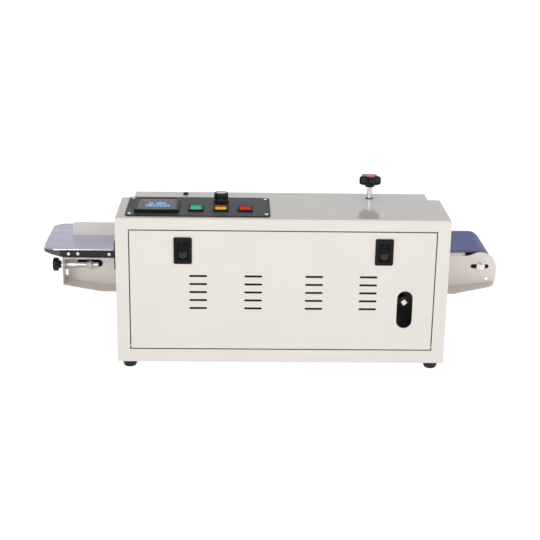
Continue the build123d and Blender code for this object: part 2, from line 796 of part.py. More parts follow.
def web_outline(ear_z):
    points = [(END_X, 93.0), (-330, WEB_LOW), (330, WEB_LOW), FLANGE_END, (412, 97)]
    points += ring_points(EAR_X, ear_z, EAR_R, [math.radians(a) for a in range(0, 110, 10)])
    points += [(362, 145.0), (356, 143.6), (-300, 143.6), (END_X, 143.6)]
    return points


def side_plate(web, flange_y, ear_z):
    """Pressed side plate: web, bottom flange, turned left end and the rounded right ear."""
    plate = slab_y(web_outline(ear_z), web)
    strip = [(END_X, 93.0), (-330, WEB_LOW), (330, WEB_LOW), FLANGE_END]
    strip += [(px, pz + SHEET) for px, pz in reversed(strip)]
    plate += slab_y(strip, flange_y)
    plate += box((END_X, END_X + SHEET), flange_y, (93.6, 143.6))
    plate -= slot_y(HEAD[0] - 1.8, HEAD[1], 34.2, 8.0, (web[0] - 1, web[1] + 1))
    plate -= tail_slot((web[0] - 1, web[1] + 1))
    plate -= along_y(CONV_SHAFT[0], CONV_SHAFT[1], 12, (web[0] - 1, web[1] + 1))
    for sx in SNUB_X:
        plate -= along_y(sx, SNUB_Z, 3, (web[0] - 1, web[1] + 1))
    return plate - flange_corner(flange_y[0])


def flange_corner(front):
    """The tapered and rounded right end of a bottom flange, as the metal cut away."""
    rise = [(325, 0), (337, 3), (352, 6.5), (366, 9.5), (380, 11.5), (391, 13.5), (400, 18), (406, 26), (408, 37)]
    points = [(x, front + y) for x, y in rise] + [(420, front + 37), (420, front - 2), (325, front - 2)]
    wire = Wire.make_polygon([(x, y, 60) for x, y in points], close=True)
    return extrude(Face(wire), amount=36, dir=(0, 0, 1))


def tail_slot(y):
    bar = box((-376.4, -337), y, (115.9, 130.1))
    return bar + along_y(-337, 123, 7.1, y)


def near_plate():
    plate = side_plate(NEAR_WEB, (NEAR_WEB[0] - FLANGE, NEAR_WEB[0] + 0.5), EAR_Z[0])
    plate += box((END_X, -300), (NEAR_WEB[0] - FLANGE, NEAR_WEB[0] + 0.5), (144.0, 145.5))
    plate += box((END_X, -300), NEAR_WEB, (143, 145.5))
    plate += box((END_X, END_X + SHEET), (NEAR_WEB[0] - FLANGE, NEAR_WEB[0]), (143, 145.5))
    plate -= box((END_X - 1, END_X + 5), (NEAR_WEB[0] - 4, NEAR_WEB[1] + 1), (99.5, 110.5))
    plate -= along_y(394.5, 98.3, 2.8, (NEAR_WEB[0] - 1, NEAR_WEB[1] + 1))
    return plate - along_x(TENSION_Y, 123, 5, (END_X - 1, END_X + 3))


def far_plate():
    return side_plate(FAR_WEB, (FAR_WEB[0] - FLANGE, FAR_WEB[0] + 0.5), EAR_Z[1])


def bed_plate():
    bed = box((-322, 352), (NEAR_WEB[1], FAR_WEB[0]), (144.5, 146.5))
    for y in (NEAR_WEB[1], FAR_WEB[0] - 2):
        bed += box((-316, 346), (y, y + 2), (134, 144.5))
    return bed


def cross_bars():
    group = []
    for x in (-270, -60, 110, 310):
        group.append(along_y(x, 123, 6, (NEAR_WEB[1], FAR_WEB[0])))
    return Compound(group)


def conveyor_brackets():
    group = []
    for s in (-1, 1):
        x = s * 150
        bracket = box((x - 1.5, x + 1.5), (DEPTH, NEAR_WEB[0]), (92, 128))
        bracket += box((x - 1.5, x + 20), (DEPTH, DEPTH + 3), (92, 128))
        bracket += box((x - 1.5, x + 20), (NEAR_WEB[0] - 3, NEAR_WEB[0]), (92, 128))
        group.append(bracket)
    return Compound(group)


def conveyor_bearings():
    x, z = CONV_SHAFT
    group = []
    for web, flange in ((NEAR_WEB, (210.5, 214)), (FAR_WEB, (372.5, 375.5))):
        bearing = along_y(x, z, 12, (web[0] - 3, web[1] + 3)) + along_y(x, z, 17, flange)
        group.append(bearing - along_y(x, z, 6 + RUN, (200, 380)))
    return Compound(group)


def conveyor_shaft():
    x, z = CONV_SHAFT
    shaft = along_y(x, z, 6, (27, 376.5))
    square = Pos(x, 20, z) * Rot(0, 55, 0) * Box(8.4, 14, 8.4)
    return shaft + square


def drive_roller():
    x, z = CONV_SHAFT
    roller = along_y(x, z, DRIVE_ROLLER_R - RUN, (227, 364))
    return roller - along_y(x, z, 6, (226, 366))


def idler_roller(place):
    roller = along_y(place[0], place[1], ROLLER_R - RUN, (227, 364))
    roller -= along_y(place[0], place[1], 16, (226, 232))
    roller -= along_y(place[0], place[1], 16, (359, 365))
    return roller - along_y(place[0], place[1], 5 + RUN, (220, 370))


def snub_roller(x):
    roller = along_y(x, SNUB_Z, SNUB_R - RUN, (227, 364))
    return roller - along_y(x, SNUB_Z, 3 + RUN, (226, 366))


def snub_axles():
    group = []
    for x in SNUB_X:
        group.append(along_y(x, SNUB_Z, 3, (NEAR_WEB[0] - 2, FAR_WEB[1] + 2)))
    return Compound(group)


def head_axle():
    x, z = HEAD
    axle = along_y(x, z, 5, (NEAR_WEB[1], FAR_WEB[0])) + along_y(x, z, 3.9, (208, 378))
    axle += along_y(x, z, 7.9, (212.4, NEAR_WEB[0])) + along_y(x, z, 7.9, (FAR_WEB[1], 374.1))
    for y in ((207, 212.4), (374.1, 378)):
        axle += Pos(x, y[0], z) * Rot(-90, 0, 0) * extrude(RegularPolygon(6.2, 6), y[1] - y[0])
    return axle


def tail_axle():
    x, z = TAIL
    return along_y(x, z, 5, (210.4, 377))


def tail_blocks():
    """Blocks that carry the tail axle; the near one is threaded for the tension screw."""
    x, z = TAIL
    near = box((x - 6.8, x + 6.8), (200, NEAR_WEB[0] - 0.1), (116.2, 129.8))
    near = fillet(near.edges().filter_by(Axis.Y), 3)
    near -= along_x(TENSION_Y, z, TENSION_R + RUN, (x - 10, x + 10))
    near -= along_y(x, z, 5, (210.4, 216))
    far = box((x - 9, x + 9), (FAR_WEB[1] + 0.1, 378), (116.2, 129.8)) - along_y(x, z, 5, (370, 379))
    return Compound([near, far])


def tension_screw():
    return along_x(TENSION_Y, 123, TENSION_R, (-414, -337))


def tension_knob():
    knob = along_x(TENSION_Y, 123, 12.6, (-421, -411)) + along_x(TENSION_Y, 123, 7.5, (-411, -406))
    for i in range(8):
        a = i * math.pi / 4
        cut = along_x(TENSION_Y + 14 * math.cos(a), 123 + 14 * math.sin(a), 2.6, (-423, -410.9))
        knob -= cut
    return knob - along_x(TENSION_Y, 123, TENSION_R, (-414, -405))


def tension_sleeve():
    sleeve = along_x(TENSION_Y, 123, 6.3, (-392.5, -376.5))
    sleeve += box((-392.5, -376.5), (TENSION_Y + 4, NEAR_WEB[0]), (119.5, 126.5))
    return sleeve - along_x(TENSION_Y, 123, TENSION_R + RUN, (-393, -376))


def conveyor_belt():
    wheels = [(TAIL[0], TAIL[1], ROLLER_R, 1), (SNUB_X[0], SNUB_Z, SNUB_R + CONV_BELT_T, -1)]
    wheels += [(CONV_SHAFT[0], CONV_SHAFT[1], DRIVE_ROLLER_R, 1)]
    wheels += [(SNUB_X[1], SNUB_Z, SNUB_R + CONV_BELT_T, -1), (HEAD[0], HEAD[1], ROLLER_R, 1)]
    return band(wheels, 0, CONV_BELT_T, CONV_BELT_Y)


def infeed_tray():
    z = (TRAY_Z - TRAY_RIM, TRAY_Z)
    tray = plate_z((TRAY_X[0], TRAY_X[1] + 40), TRAY_Y, z, 27)
    inner_x = (TRAY_X[0] + SHEET, TRAY_X[1] + 42)
    inner_y = (TRAY_Y[0] + SHEET, TRAY_Y[1] - SHEET)
    tray -= plate_z(inner_x, inner_y, (z[0] - 1, TRAY_Z - SHEET), 25.5)
    tray -= box((TRAY_X[1], TRAY_X[1] + 60), (170, 360), (130, 170))
    tray -= slab_y([(-404, 145), (-404, 146.2), (-426, 151.5), (-440, 151.5), (-440, 145)], (170, 360))
    return tray - box((-384, -200), (190, 360), (130, TRAY_Z - SHEET))


def tray_strip():
    strip = box((-404, TRAY_X[1]), (178.5, TRAY_Y[0]), (146.0, 160.4))
    return strip - tray_screw_cuts()


def tray_screw_places():
    return [(-388, 152.2), (-371, 152.6), (-313.5, 151.8)]


def tray_screw_cuts():
    first, second, third = [along_y(x, z, 1.7, (170, 190)) for x, z in tray_screw_places()]
    return first + second + third


def tray_screws():
    group = []
    for x, z in tray_screw_places():
        group.append(along_y(x, z, 3.1, (176.6, 178.5)) + along_y(x, z, 1.6, (178.5, 180)))
    return Compound(group)


def tray_bracket():
    stand = box((-394, -292), (181.6, 183.2), (145.5, TRAY_Z - SHEET))
    return stand + box((-394, -292), (183.2, 204), (145.5, 147))


def bag_fence():
    fence = box((-391, TRAY_X[1] - 2), (270, 271.8), (TRAY_Z, 186.2))
    corner = [e for e in fence.edges().filter_by(Axis.Y) if e.center().X < -380 and e.center().Z > 180]
    fence = fillet(corner, 6)
    return fence + box((-385, TRAY_X[1] - 8), (271.8, 286), (TRAY_Z, TRAY_Z + SHEET))


def fence_screws():
    group = []
    for x in (-370, -305):
        group.append(along_z(x, 279, 3.2, (TRAY_Z + SHEET, TRAY_Z + SHEET + 1.8)))
    return Compound(group)


def main():
    os.makedirs("parts", exist_ok=True)
    save("case_shell", case_shell() + hinge_ears())
    save("base_pan", Compound([base_pan(), motor_bracket(), fan_bracket()]))
    save("feet", feet())
    small_screws = [foot_screws(), panel_screws(), inlet_screws(), tray_screws(), fence_screws()]
    save("screws", Compound(small_screws))
    save("head_plate", head_plate())
    pins = [lower_pinch_axle(), arm_pin(), pressure_bracket(), block_posts(), heater_cartridges()]
    save("head_fittings", Compound([head_bearings()] + pins))
    save("power_inlet", power_inlet())
    save("electrical_tabs", Compound([inlet_pins(), switch_tabs()]))
    save("panel_plate", panel_plate())
    save("controller_body", Compound([controller_body(), controller_terminals()]))
    save("controller_face", controller_face())
    save("switch_housings", switch_housings())
    save("rocker_green", rocker(ROCKER_X[0]))
    save("rocker_yellow", rocker(ROCKER_X[1]))
    save("rocker_red", rocker(ROCKER_X[2]))
    save("speed_knob", speed_knob())
    save("speed_knob_metal", Compound([speed_knob_cap(), speed_spindle()]))
    save("potentiometer", potentiometer())
    save("door_panel", door_panel())
    save("latch_bodies", latch_bodies())
    save("latch_slider_left", latch_slider(LATCH_X[0]))
    save("latch_slider_right", latch_slider(LATCH_X[1]))
    main_sprocket = sprocket(WHEEL_X, LOWER_Z, MAIN_TEETH, MAIN_CHAIN_Y, SHAFT_R)
    second_sprocket = sprocket(WHEEL_X, LOWER_Z, CONVEYOR_TEETH, CONVEYOR_CHAIN_Y, SHAFT_R)
    save("lower_drive_shaft", Compound([lower_drive_shaft(), main_sprocket, second_sprocket]))
    save("lower_gear", gear(WHEEL_X, LOWER_Z, math.pi / 2))
    save("lower_drive_wheel", wheel(WHEEL_X, LOWER_Z))
    upper_gear = gear(WHEEL_X, UPPER_Z, -math.pi / 2 + math.pi / GEAR_TEETH)
    save("upper_drive_shaft", Compound([upper_drive_shaft(), upper_gear]))
    save("upper_drive_wheel", wheel(WHEEL_X, UPPER_Z))
    save("lower_driven_wheel", Compound([wheel(-WHEEL_X, LOWER_Z), driven_shaft(LOWER_Z)]))
    save("upper_driven_wheel", Compound([wheel(-WHEEL_X, UPPER_Z), driven_shaft(UPPER_Z)]))
    save("gear_motor", gear_motor())
    motor_sprocket = sprocket(MOTOR[0], MOTOR[1], SMALL_TEETH, MAIN_CHAIN_Y, SHAFT_R)
    save("motor_sprocket", Compound([motor_shaft(), motor_sprocket]))
    save("drive_chains", drive_chains())
    save("seal_belts", Compound([seal_belt(LOWER_Z), seal_belt(UPPER_Z)]))
    save("seal_blocks", seal_blocks())
    save("lower_pinch_wheel", pinch_wheel(PINCH_Z[0]))
    save("upper_pinch_wheel", pinch_wheel(PINCH_Z[1]))
    save("press_arm", press_arm())
    save("pressure_spring", pressure_spring())
    save("pressure_cap", pressure_cap())
    save("pressure_screw", pressure_screw())
    save("pressure_knob", pressure_knob())
    save("pressure_knob_cap", pressure_knob_cap())
    save("fan_frame", fan_frame())
    save("fan_rotor", fan_rotor())
    save("control_board", Compound([control_board(), board_parts(), board_posts()]))
    save("side_plates", Compound([near_plate(), far_plate()]))
    save("bed_plate", Compound([bed_plate(), conveyor_brackets(), tray_bracket()]))
    bars = [cross_bars(), snub_axles(), head_axle(), conveyor_bearings(), tension_sleeve()]
    save("cross_bars", Compound(bars))
    conveyor_sprocket = sprocket(CONV_SHAFT[0], CONV_SHAFT[1], SMALL_TEETH, CONVEYOR_CHAIN_Y, 6.0)
    save("conveyor_shaft", Compound([conveyor_shaft(), conveyor_sprocket, drive_roller()]))
    save("head_roller", idler_roller(HEAD))
    save("tail_roller", idler_roller(TAIL))
    save("snub_roller_left", snub_roller(SNUB_X[0]))
    save("snub_roller_right", snub_roller(SNUB_X[1]))
    save("tail_carriage", Compound([tail_axle(), tail_blocks()]))
    save("tension_screw", tension_screw())
    save("tension_knob", tension_knob())
    save("conveyor_belt", conveyor_belt())
    save("infeed_tray", infeed_tray())
    save("tray_strip", tray_strip())
    save("bag_fence", bag_fence())


if __name__ == "__main__":
    main()
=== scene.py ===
import json
import math

import bmesh
import bpy
from mathutils import Matrix, Vector


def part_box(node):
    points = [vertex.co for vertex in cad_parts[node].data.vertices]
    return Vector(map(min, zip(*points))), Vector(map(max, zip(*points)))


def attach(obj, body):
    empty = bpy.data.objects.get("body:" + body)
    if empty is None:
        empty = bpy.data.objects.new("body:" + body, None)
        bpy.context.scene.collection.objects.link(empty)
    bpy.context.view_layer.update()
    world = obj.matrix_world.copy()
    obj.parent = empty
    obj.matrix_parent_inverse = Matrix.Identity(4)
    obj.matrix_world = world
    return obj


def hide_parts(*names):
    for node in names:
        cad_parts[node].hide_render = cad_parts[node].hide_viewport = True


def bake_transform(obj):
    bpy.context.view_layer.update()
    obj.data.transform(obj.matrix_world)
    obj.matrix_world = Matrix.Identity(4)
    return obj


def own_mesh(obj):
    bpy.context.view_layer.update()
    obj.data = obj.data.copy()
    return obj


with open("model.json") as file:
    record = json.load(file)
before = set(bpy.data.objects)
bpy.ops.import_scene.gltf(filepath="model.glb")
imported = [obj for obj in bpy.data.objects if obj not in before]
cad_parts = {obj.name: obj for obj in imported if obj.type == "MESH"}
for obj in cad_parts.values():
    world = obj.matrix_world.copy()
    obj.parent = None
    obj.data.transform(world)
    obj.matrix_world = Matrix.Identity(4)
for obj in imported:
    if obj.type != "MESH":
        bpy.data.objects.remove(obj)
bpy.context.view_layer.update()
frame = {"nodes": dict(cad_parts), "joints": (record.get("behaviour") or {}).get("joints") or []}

MM = 0.001
TAU = math.tau
HUB = 0.01  # radius of the first and last ring of a turned body, which close it on its axis

# ---------------------------------------------------------------- places, taken from the CAD frame

shell_lo, shell_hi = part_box("case_shell")
MID_X = (shell_lo.x + shell_hi.x) / 2
DOOR_Y = shell_lo.y


def at(x, y, z):
    """A point given in mm from the housing's middle, its door side and the floor."""
    return Vector((MID_X + x * MM, DOOR_Y + y * MM, z * MM))


def local(p):
    """The same, backwards: metres in the frame to housing mm."""
    return ((p.x - MID_X) / MM, (p.y - DOOR_Y) / MM, p.z / MM)


def span(node):
    """A CAD node's box in housing mm."""
    lo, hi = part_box(node)
    return local(lo), local(hi)


JOINT = {j["name"]: j for j in frame["joints"]}


def pivot(joint):
    """A joint's place in housing mm."""
    return local(Vector(JOINT[joint]["pos_m"]))


# ---------------------------------------------------------------- materials

def node(tree, kind, **values):
    """A new shader node with its inputs or settings given by name."""
    n = tree.nodes.new(kind)
    for key, value in values.items():
        if key in n.inputs:
            n.inputs[key].default_value = value
        else:
            setattr(n, key, value)
    return n


def ramp(tree, source, low, high, a, b):
    """A source led from the range low..high to a..b."""
    n = node(tree, "ShaderNodeMapRange", **{"From Min": low, "From Max": high, "To Min": a, "To Max": b})
    tree.links.new(source, n.inputs["Value"])
    return n.outputs["Result"]


def blend_colour(tree, factor, a, b):
    """A mix of two colours, each a value or another node's output."""
    n = node(tree, "ShaderNodeMix", data_type="RGBA")
    tree.links.new(factor, n.inputs["Factor"])
    for socket, value in ((n.inputs[6], a), (n.inputs[7], b)):
        if hasattr(value, "is_linked"):
            tree.links.new(value, socket)
        else:
            socket.default_value = (*value, 1)
    return n.outputs[2]


def finish(name, colour, rough, metal=0.0, grain=0.12, grain_scale=900.0, grain_depth=0.00006, mottle=0.05,
           mottle_scale=9.0, wear=0.25, wear_colour=None, coat=0.0, stretch=(1, 1, 1), edge=0.0007,
           glow=None, specular=0.5, rough_spread=0.08, sheen=0.0):
    """A procedural finish: uneven colour and roughness, fine surface grain, worn or dusty edges."""
    m = bpy.data.materials.new(name)
    m.use_nodes = True
    t = m.node_tree
    bsdf = t.nodes["Principled BSDF"]
    coords = node(t, "ShaderNodeTexCoord").outputs["Object"]
    mapping = node(t, "ShaderNodeMapping")
    mapping.inputs["Scale"].default_value = stretch
    t.links.new(coords, mapping.inputs["Vector"])
    fine = node(t, "ShaderNodeTexNoise", Scale=grain_scale, Detail=3.0)
    t.links.new(mapping.outputs["Vector"], fine.inputs["Vector"])
    broad = node(t, "ShaderNodeTexNoise", Scale=mottle_scale, Detail=5.0, Roughness=0.6)
    t.links.new(coords, broad.inputs["Vector"])
    mid = node(t, "ShaderNodeTexNoise", Scale=mottle_scale * 9, Detail=4.0)
    t.links.new(mapping.outputs["Vector"], mid.inputs["Vector"])

    dark = tuple(c * (1 - mottle) for c in colour)
    light = tuple(min(1, c * (1 + mottle)) for c in colour)
    base = blend_colour(t, ramp(t, broad.outputs["Fac"], 0.3, 0.7, 0, 1), dark, light)

    bevel = node(t, "ShaderNodeBevel", samples=4)
    bevel.inputs["Radius"].default_value = edge
    geometry = node(t, "ShaderNodeNewGeometry")
    dot = node(t, "ShaderNodeVectorMath", operation="DOT_PRODUCT")
    t.links.new(bevel.outputs["Normal"], dot.inputs[0])
    t.links.new(geometry.outputs["Normal"], dot.inputs[1])
    rim = ramp(t, dot.outputs["Value"], 0.995, 0.9, 0, 1)
    spots = ramp(t, mid.outputs["Fac"], 0.5, 0.62, 0, wear)
    worn = node(t, "ShaderNodeMath", operation="MULTIPLY")
    t.links.new(rim, worn.inputs[0])
    t.links.new(spots, worn.inputs[1])
    shade = wear_colour or tuple(min(1, c * 0.6 + 0.25) for c in colour)
    colour_out = blend_colour(t, worn.outputs[0], base, shade)
    t.links.new(colour_out, bsdf.inputs["Base Color"])

    low, high = max(0.02, rough - rough_spread), min(1, rough + rough_spread)
    t.links.new(ramp(t, mid.outputs["Fac"], 0.3, 0.7, low, high), bsdf.inputs["Roughness"])
    bump = node(t, "ShaderNodeBump", Strength=grain)
    bump.inputs["Distance"].default_value = grain_depth
    t.links.new(fine.outputs["Fac"], bump.inputs["Height"])
    t.links.new(bevel.outputs["Normal"], bump.inputs["Normal"])
    t.links.new(bump.outputs["Normal"], bsdf.inputs["Normal"])
    for key, value in (("Metallic", metal), ("Specular IOR Level", specular), ("Coat Weight", coat),
                       ("Coat Roughness", 0.05), ("Sheen Weight", sheen)):
        bsdf.inputs[key].default_value = value
    if glow:
        bsdf.inputs["Emission Color"].default_value = (*glow[0], 1)
        bsdf.inputs["Emission Strength"].default_value = glow[1]
    return m


def weave(name, colour, second, pitch, rough, depth):
    """A coated woven belt: crossed threads as bump, slight colour change between them."""
    m = finish(name, colour, rough, grain=0.3, grain_scale=2500, mottle=0.08, sheen=0.05)
    t = m.node_tree
    bsdf = t.nodes["Principled BSDF"]
    coords = node(t, "ShaderNodeTexCoord").outputs["Object"]
    waves = []
    for direction in ("X", "Y"):
        w = node(t, "ShaderNodeTexWave", bands_direction=direction)
        w.inputs["Scale"].default_value = 0.314 / pitch
        t.links.new(coords, w.inputs["Vector"])
        waves.append(w.outputs["Fac"])
    both = node(t, "ShaderNodeMath", operation="MULTIPLY")
    t.links.new(waves[0], both.inputs[0])
    t.links.new(waves[1], both.inputs[1])
    old = bsdf.inputs["Base Color"].links[0].from_socket
    t.links.new(blend_colour(t, both.outputs[0], old, second), bsdf.inputs["Base Color"])
    bump = node(t, "ShaderNodeBump", Strength=0.5)
    bump.inputs["Distance"].default_value = depth
    t.links.new(both.outputs[0], bump.inputs["Height"])
    t.links.new(bsdf.inputs["Normal"].links[0].from_socket, bump.inputs["Normal"])
    t.links.new(bump.outputs["Normal"], bsdf.inputs["Normal"])
    return m


PAINT = dict(grain=0.25, grain_scale=420, grain_depth=0.00008, mottle=0.012, wear=0.10,
             wear_colour=(0.60, 0.55, 0.48), rough_spread=0.03)
CREAM = finish("cream_paint", (0.735, 0.700, 0.650), 0.24, coat=0.6, edge=0.0005, specular=0.3, **PAINT)
# The conveyor's plates and bed carry the housing's cream paint. Here it is painted lighter, as painted
# light for parts that get less light.
CONVEYOR_LIT = finish("conveyor_paint_lit", (0.85, 0.79, 0.735), 0.34, coat=0.2, edge=0.0009, **PAINT)
# The bag fence is the same cream paint, painted lighter still and given a faint glow: painted light.
FENCE_LIT = finish("fence_paint_lit_glow", (0.90, 0.86, 0.81), 0.34, coat=0.2, glow=((1.0, 0.93, 0.84), 0.05), **PAINT)
PLATE = finish("plate_steel", (0.50, 0.51, 0.52), 0.42, metal=0.9, mottle=0.10, mottle_scale=30, wear=0.3)
POLISHED = finish("polished_sheet", (0.66, 0.63, 0.79), 0.34, metal=0.85, grain=0.16, grain_scale=500,
                  stretch=(0.04, 1, 1), mottle=0.03, wear=0.2, wear_colour=(0.8, 0.8, 0.85))
BRIGHT = finish("bright_metal", (0.86, 0.86, 0.87), 0.12, metal=1.0, mottle=0.03, wear=0.2,
                wear_colour=(0.5, 0.5, 0.5), rough_spread=0.05)
TURNED = finish("turned_steel", (0.50, 0.50, 0.50), 0.32, metal=1.0, mottle=0.08, mottle_scale=40, wear=0.4,
                grain=0.25, grain_scale=1200, wear_colour=(0.72, 0.72, 0.72))
ALLOY = finish("aluminium", (0.66, 0.66, 0.67), 0.36, metal=1.0, mottle=0.06, mottle_scale=25, grain=0.2,
               grain_scale=1400, wear=0.35, wear_colour=(0.8, 0.8, 0.8))
RUBBER = finish("black_rubber", (0.022, 0.022, 0.023), 0.72, grain=0.5, grain_scale=900, mottle=0.2,
                wear=0.3,
                wear_colour=(0.07, 0.07, 0.068), specular=0.25)
SILICONE = finish("wheel_rubber", (0.40, 0.10, 0.06), 0.55, grain=0.3, mottle=0.10, wear=0.4,
                  wear_colour=(0.46, 0.20, 0.15))
BLACK = finish("black_plastic", (0.0075, 0.0070, 0.0072), 0.42, grain=0.35, grain_scale=1600,
               grain_depth=0.00005,
               mottle=0.15, wear=0.25, wear_colour=(0.035, 0.035, 0.037), specular=0.15)
GLOSSY = finish("moulded_knob", (0.0035, 0.0036, 0.0042), 0.22, grain=0.2, grain_scale=1600,
                grain_depth=0.00004,
                mottle=0.12, wear=0.2, wear_colour=(0.04, 0.04, 0.045), specular=0.32)
# A lighter copy of the black plastic for the latch chevrons: a painted highlight.
GRIP_HIGHLIGHT = finish("grip_plastic_highlight", (0.045, 0.045, 0.047), 0.35, grain=0.2, grain_scale=1600, wear=0.2)
ORANGE = finish("orange_plastic", (0.90, 0.30, 0.18), 0.42, mottle=0.04, wear=0.2,
                wear_colour=(0.7, 0.35, 0.25))
BLUE = weave("blue_belt", (0.120, 0.134, 0.385), (0.160, 0.178, 0.46), 0.0011, 0.50, 0.00004)
CLOTH = weave("brown_belt", (0.30, 0.19, 0.10), (0.42, 0.29, 0.17), 0.0006, 0.35, 0.00005)
BOARD = finish("green_board", (0.02, 0.16, 0.07), 0.3, mottle=0.15, mottle_scale=60, wear=0.2, coat=0.3)
COPPER = finish("copper_wire", (0.75, 0.42, 0.22), 0.3, metal=1.0, mottle=0.08, wear=0.2)
BRASS = finish("plated_tab", (0.75, 0.66, 0.42), 0.3, metal=1.0, mottle=0.08, wear=0.3)
WIRE_RED = finish("wire_red", (0.50, 0.02, 0.02), 0.4, mottle=0.1, wear=0.1)
WIRE_BLUE = finish("wire_blue", (0.03, 0.08, 0.40), 0.4, mottle=0.1, wear=0.1)
WIRE_GREEN = finish("wire_green", (0.25, 0.45, 0.04), 0.4, mottle=0.1, wear=0.1)
WHITE = finish("white_mark", (0.75, 0.75, 0.76), 0.45, mottle=0.03, wear=0.1)
LABEL = finish("plate_label", (0.62, 0.62, 0.60), 0.35, mottle=0.05, wear=0.2)
DIGIT = finish("lcd_digit", (0.16, 0.42, 0.80), 0.3, mottle=0.02, wear=0.0, glow=((0.16, 0.50, 1.0), 0.75))
RED_BAND = finish("red_band", (0.60, 0.09, 0.13), 0.3, mottle=0.04, wear=0.1)
FACE_COLOUR = (0.030, 0.031, 0.048)
FACE = finish("controller_face", FACE_COLOUR, 0.24, grain=0.05, mottle=0.04, wear=0.05, specular=0.35)
# A dark strip in the gap round the door: painted shade for the seam.
SEAM_SHADE = finish("shaded_rebate", (0.10, 0.095, 0.085), 0.6, mottle=0.05, wear=0.0, specular=0.2)
# The tray's rim is the same steel as its sheet. This dark metal is a painted reflection of the dark room.
RIM_DARK_REFLECTION = finish("rim_painted_reflection", (0.11, 0.11, 0.13), 0.25, metal=0.9, grain=0.1, mottle=0.10, mottle_scale=25,
             wear=0.3,
             wear_colour=(0.7, 0.7, 0.75))
# The speed knob's metal disc in a light diffuse grey: a painted reflection of the bright light on it.
DISC_LIT = finish("knob_disc_painted_reflection", (0.80, 0.80, 0.81), 0.45, metal=0.25, mottle=0.05, wear=0.1)
STRIP = finish("strip_black", (0.014, 0.013, 0.024), 0.26, mottle=0.1, specular=0.35)


def split_by_place(m, axis, edge, colour, glow=None):
    """Beyond a place along an axis the surface takes a second colour."""
    t = m.node_tree
    bsdf = t.nodes["Principled BSDF"]
    xyz = node(t, "ShaderNodeSeparateXYZ")
    t.links.new(node(t, "ShaderNodeTexCoord").outputs["Object"], xyz.inputs[0])
    far = ramp(t, xyz.outputs[axis], edge - 0.0002, edge + 0.0002, 0, 1)
    old = bsdf.inputs["Base Color"].links[0].from_socket
    t.links.new(blend_colour(t, far, old, colour), bsdf.inputs["Base Color"])
    if glow:
        near = tuple(bsdf.inputs["Emission Color"].default_value)[:3]
        t.links.new(blend_colour(t, far, near, glow), bsdf.inputs["Emission Color"])
    return m


def lens(name, near, far):
    """A lit rocker lens. Its far half is darker in colour and glow: painted shade on the facet that faces
    away from the light.
    """
    m = finish(name, near, 0.45, grain=0.1, mottle=0.04, wear=0.05, specular=0.05, glow=(near, 0.30))
    return split_by_place(m, "Y", pivot_y("green_rocker_tilt"), far, far)


def pivot_y(joint):
    return JOINT[joint]["pos_m"][1]


# The second colour of each lens is painted shade for its far facet.
GREEN_LENS = lens("lens_green", (0.05, 0.56, 0.36), (0.015, 0.36, 0.22))
YELLOW_LENS = lens("lens_yellow", (0.86, 0.42, 0.02), (0.42, 0.085, 0.004))
RED_LENS = lens("lens_red", (0.72, 0.030, 0.006), (0.26, 0.008, 0.004))


def panel_material():
    """Printed panel: dark grey field inside a near-black border."""
    m = finish("panel_film", (0.034, 0.036, 0.041), 0.42, grain=0.3, grain_scale=1500, mottle=0.02,
               wear=0.15,
               wear_colour=(0.10, 0.10, 0.10), specular=0.28, rough_spread=0.03)
    t = m.node_tree
    bsdf = t.nodes["Principled BSDF"]
    lo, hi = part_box("panel_plate")
    mid = (lo + hi) / 2
    half = (hi - lo) / 2
    xyz = node(t, "ShaderNodeSeparateXYZ")
    t.links.new(node(t, "ShaderNodeTexCoord").outputs["Object"], xyz.inputs[0])
    edges = []
    for axis, c, h in (("X", mid.x, half.x), ("Y", mid.y, half.y)):
        off = node(t, "ShaderNodeMath", operation="SUBTRACT")
        t.links.new(xyz.outputs[axis], off.inputs[0])
        off.inputs[1].default_value = c
        size = node(t, "ShaderNodeMath", operation="ABSOLUTE")
        t.links.new(off.outputs[0], size.inputs[0])
        edges.append(ramp(t, size.outputs[0], h - 0.0044, h - 0.0038, 0, 1))
    mask = node(t, "ShaderNodeMath", operation="MAXIMUM")
    t.links.new(edges[0], mask.inputs[0])
    t.links.new(edges[1], mask.inputs[1])
    old = bsdf.inputs["Base Color"].links[0].from_socket
    t.links.new(blend_colour(t, mask.outputs[0], old, (0.004, 0.004, 0.005)), bsdf.inputs["Base Color"])
    return m


PANEL = panel_material()
SHAFT = finish("blackened_shaft", (0.80, 0.79, 0.79), 0.30, metal=0.6, mottle=0.06, wear=0.2)
split_by_place(SHAFT, "Y", DOOR_Y + 0.0265, (0.05, 0.05, 0.05))

# ---------------------------------------------------------------- dressing the CAD nodes

CAD_FINISH = {
    "case_shell": CREAM, "door_panel": CREAM, "side_plates": CONVEYOR_LIT, "bed_plate": CONVEYOR_LIT,
    "bag_fence": FENCE_LIT,
    "base_pan": PLATE, "head_plate": PLATE, "head_fittings": TURNED, "power_inlet": BLACK,
    "electrical_tabs": BRASS, "panel_plate": PANEL, "controller_body": BLACK, "controller_face": FACE,
    "switch_housings": BLACK, "potentiometer": ALLOY, "lower_drive_shaft": TURNED, "lower_gear": TURNED,
    "upper_drive_shaft": TURNED, "motor_sprocket": TURNED, "seal_belts": CLOTH, "seal_blocks": ALLOY,
    "lower_pinch_wheel": TURNED, "upper_pinch_wheel": TURNED, "press_arm": TURNED, "pressure_cap": TURNED,
    "pressure_screw": BRIGHT, "cross_bars": BRIGHT, "conveyor_shaft": SHAFT, "head_roller": ALLOY,
    "tail_roller": ALLOY, "snub_roller_left": ALLOY, "snub_roller_right": ALLOY, "tail_carriage": BRIGHT,
    "tension_screw": BRIGHT, "infeed_tray": POLISHED, "fan_frame": BLACK,
}


def sharpen(obj, angle=35):
    """Smooth shading with sharp edges where faces meet at more than the angle."""
    mesh = obj.data
    mesh.shade_smooth()
    mesh.set_sharp_from_angle(angle=math.radians(angle))


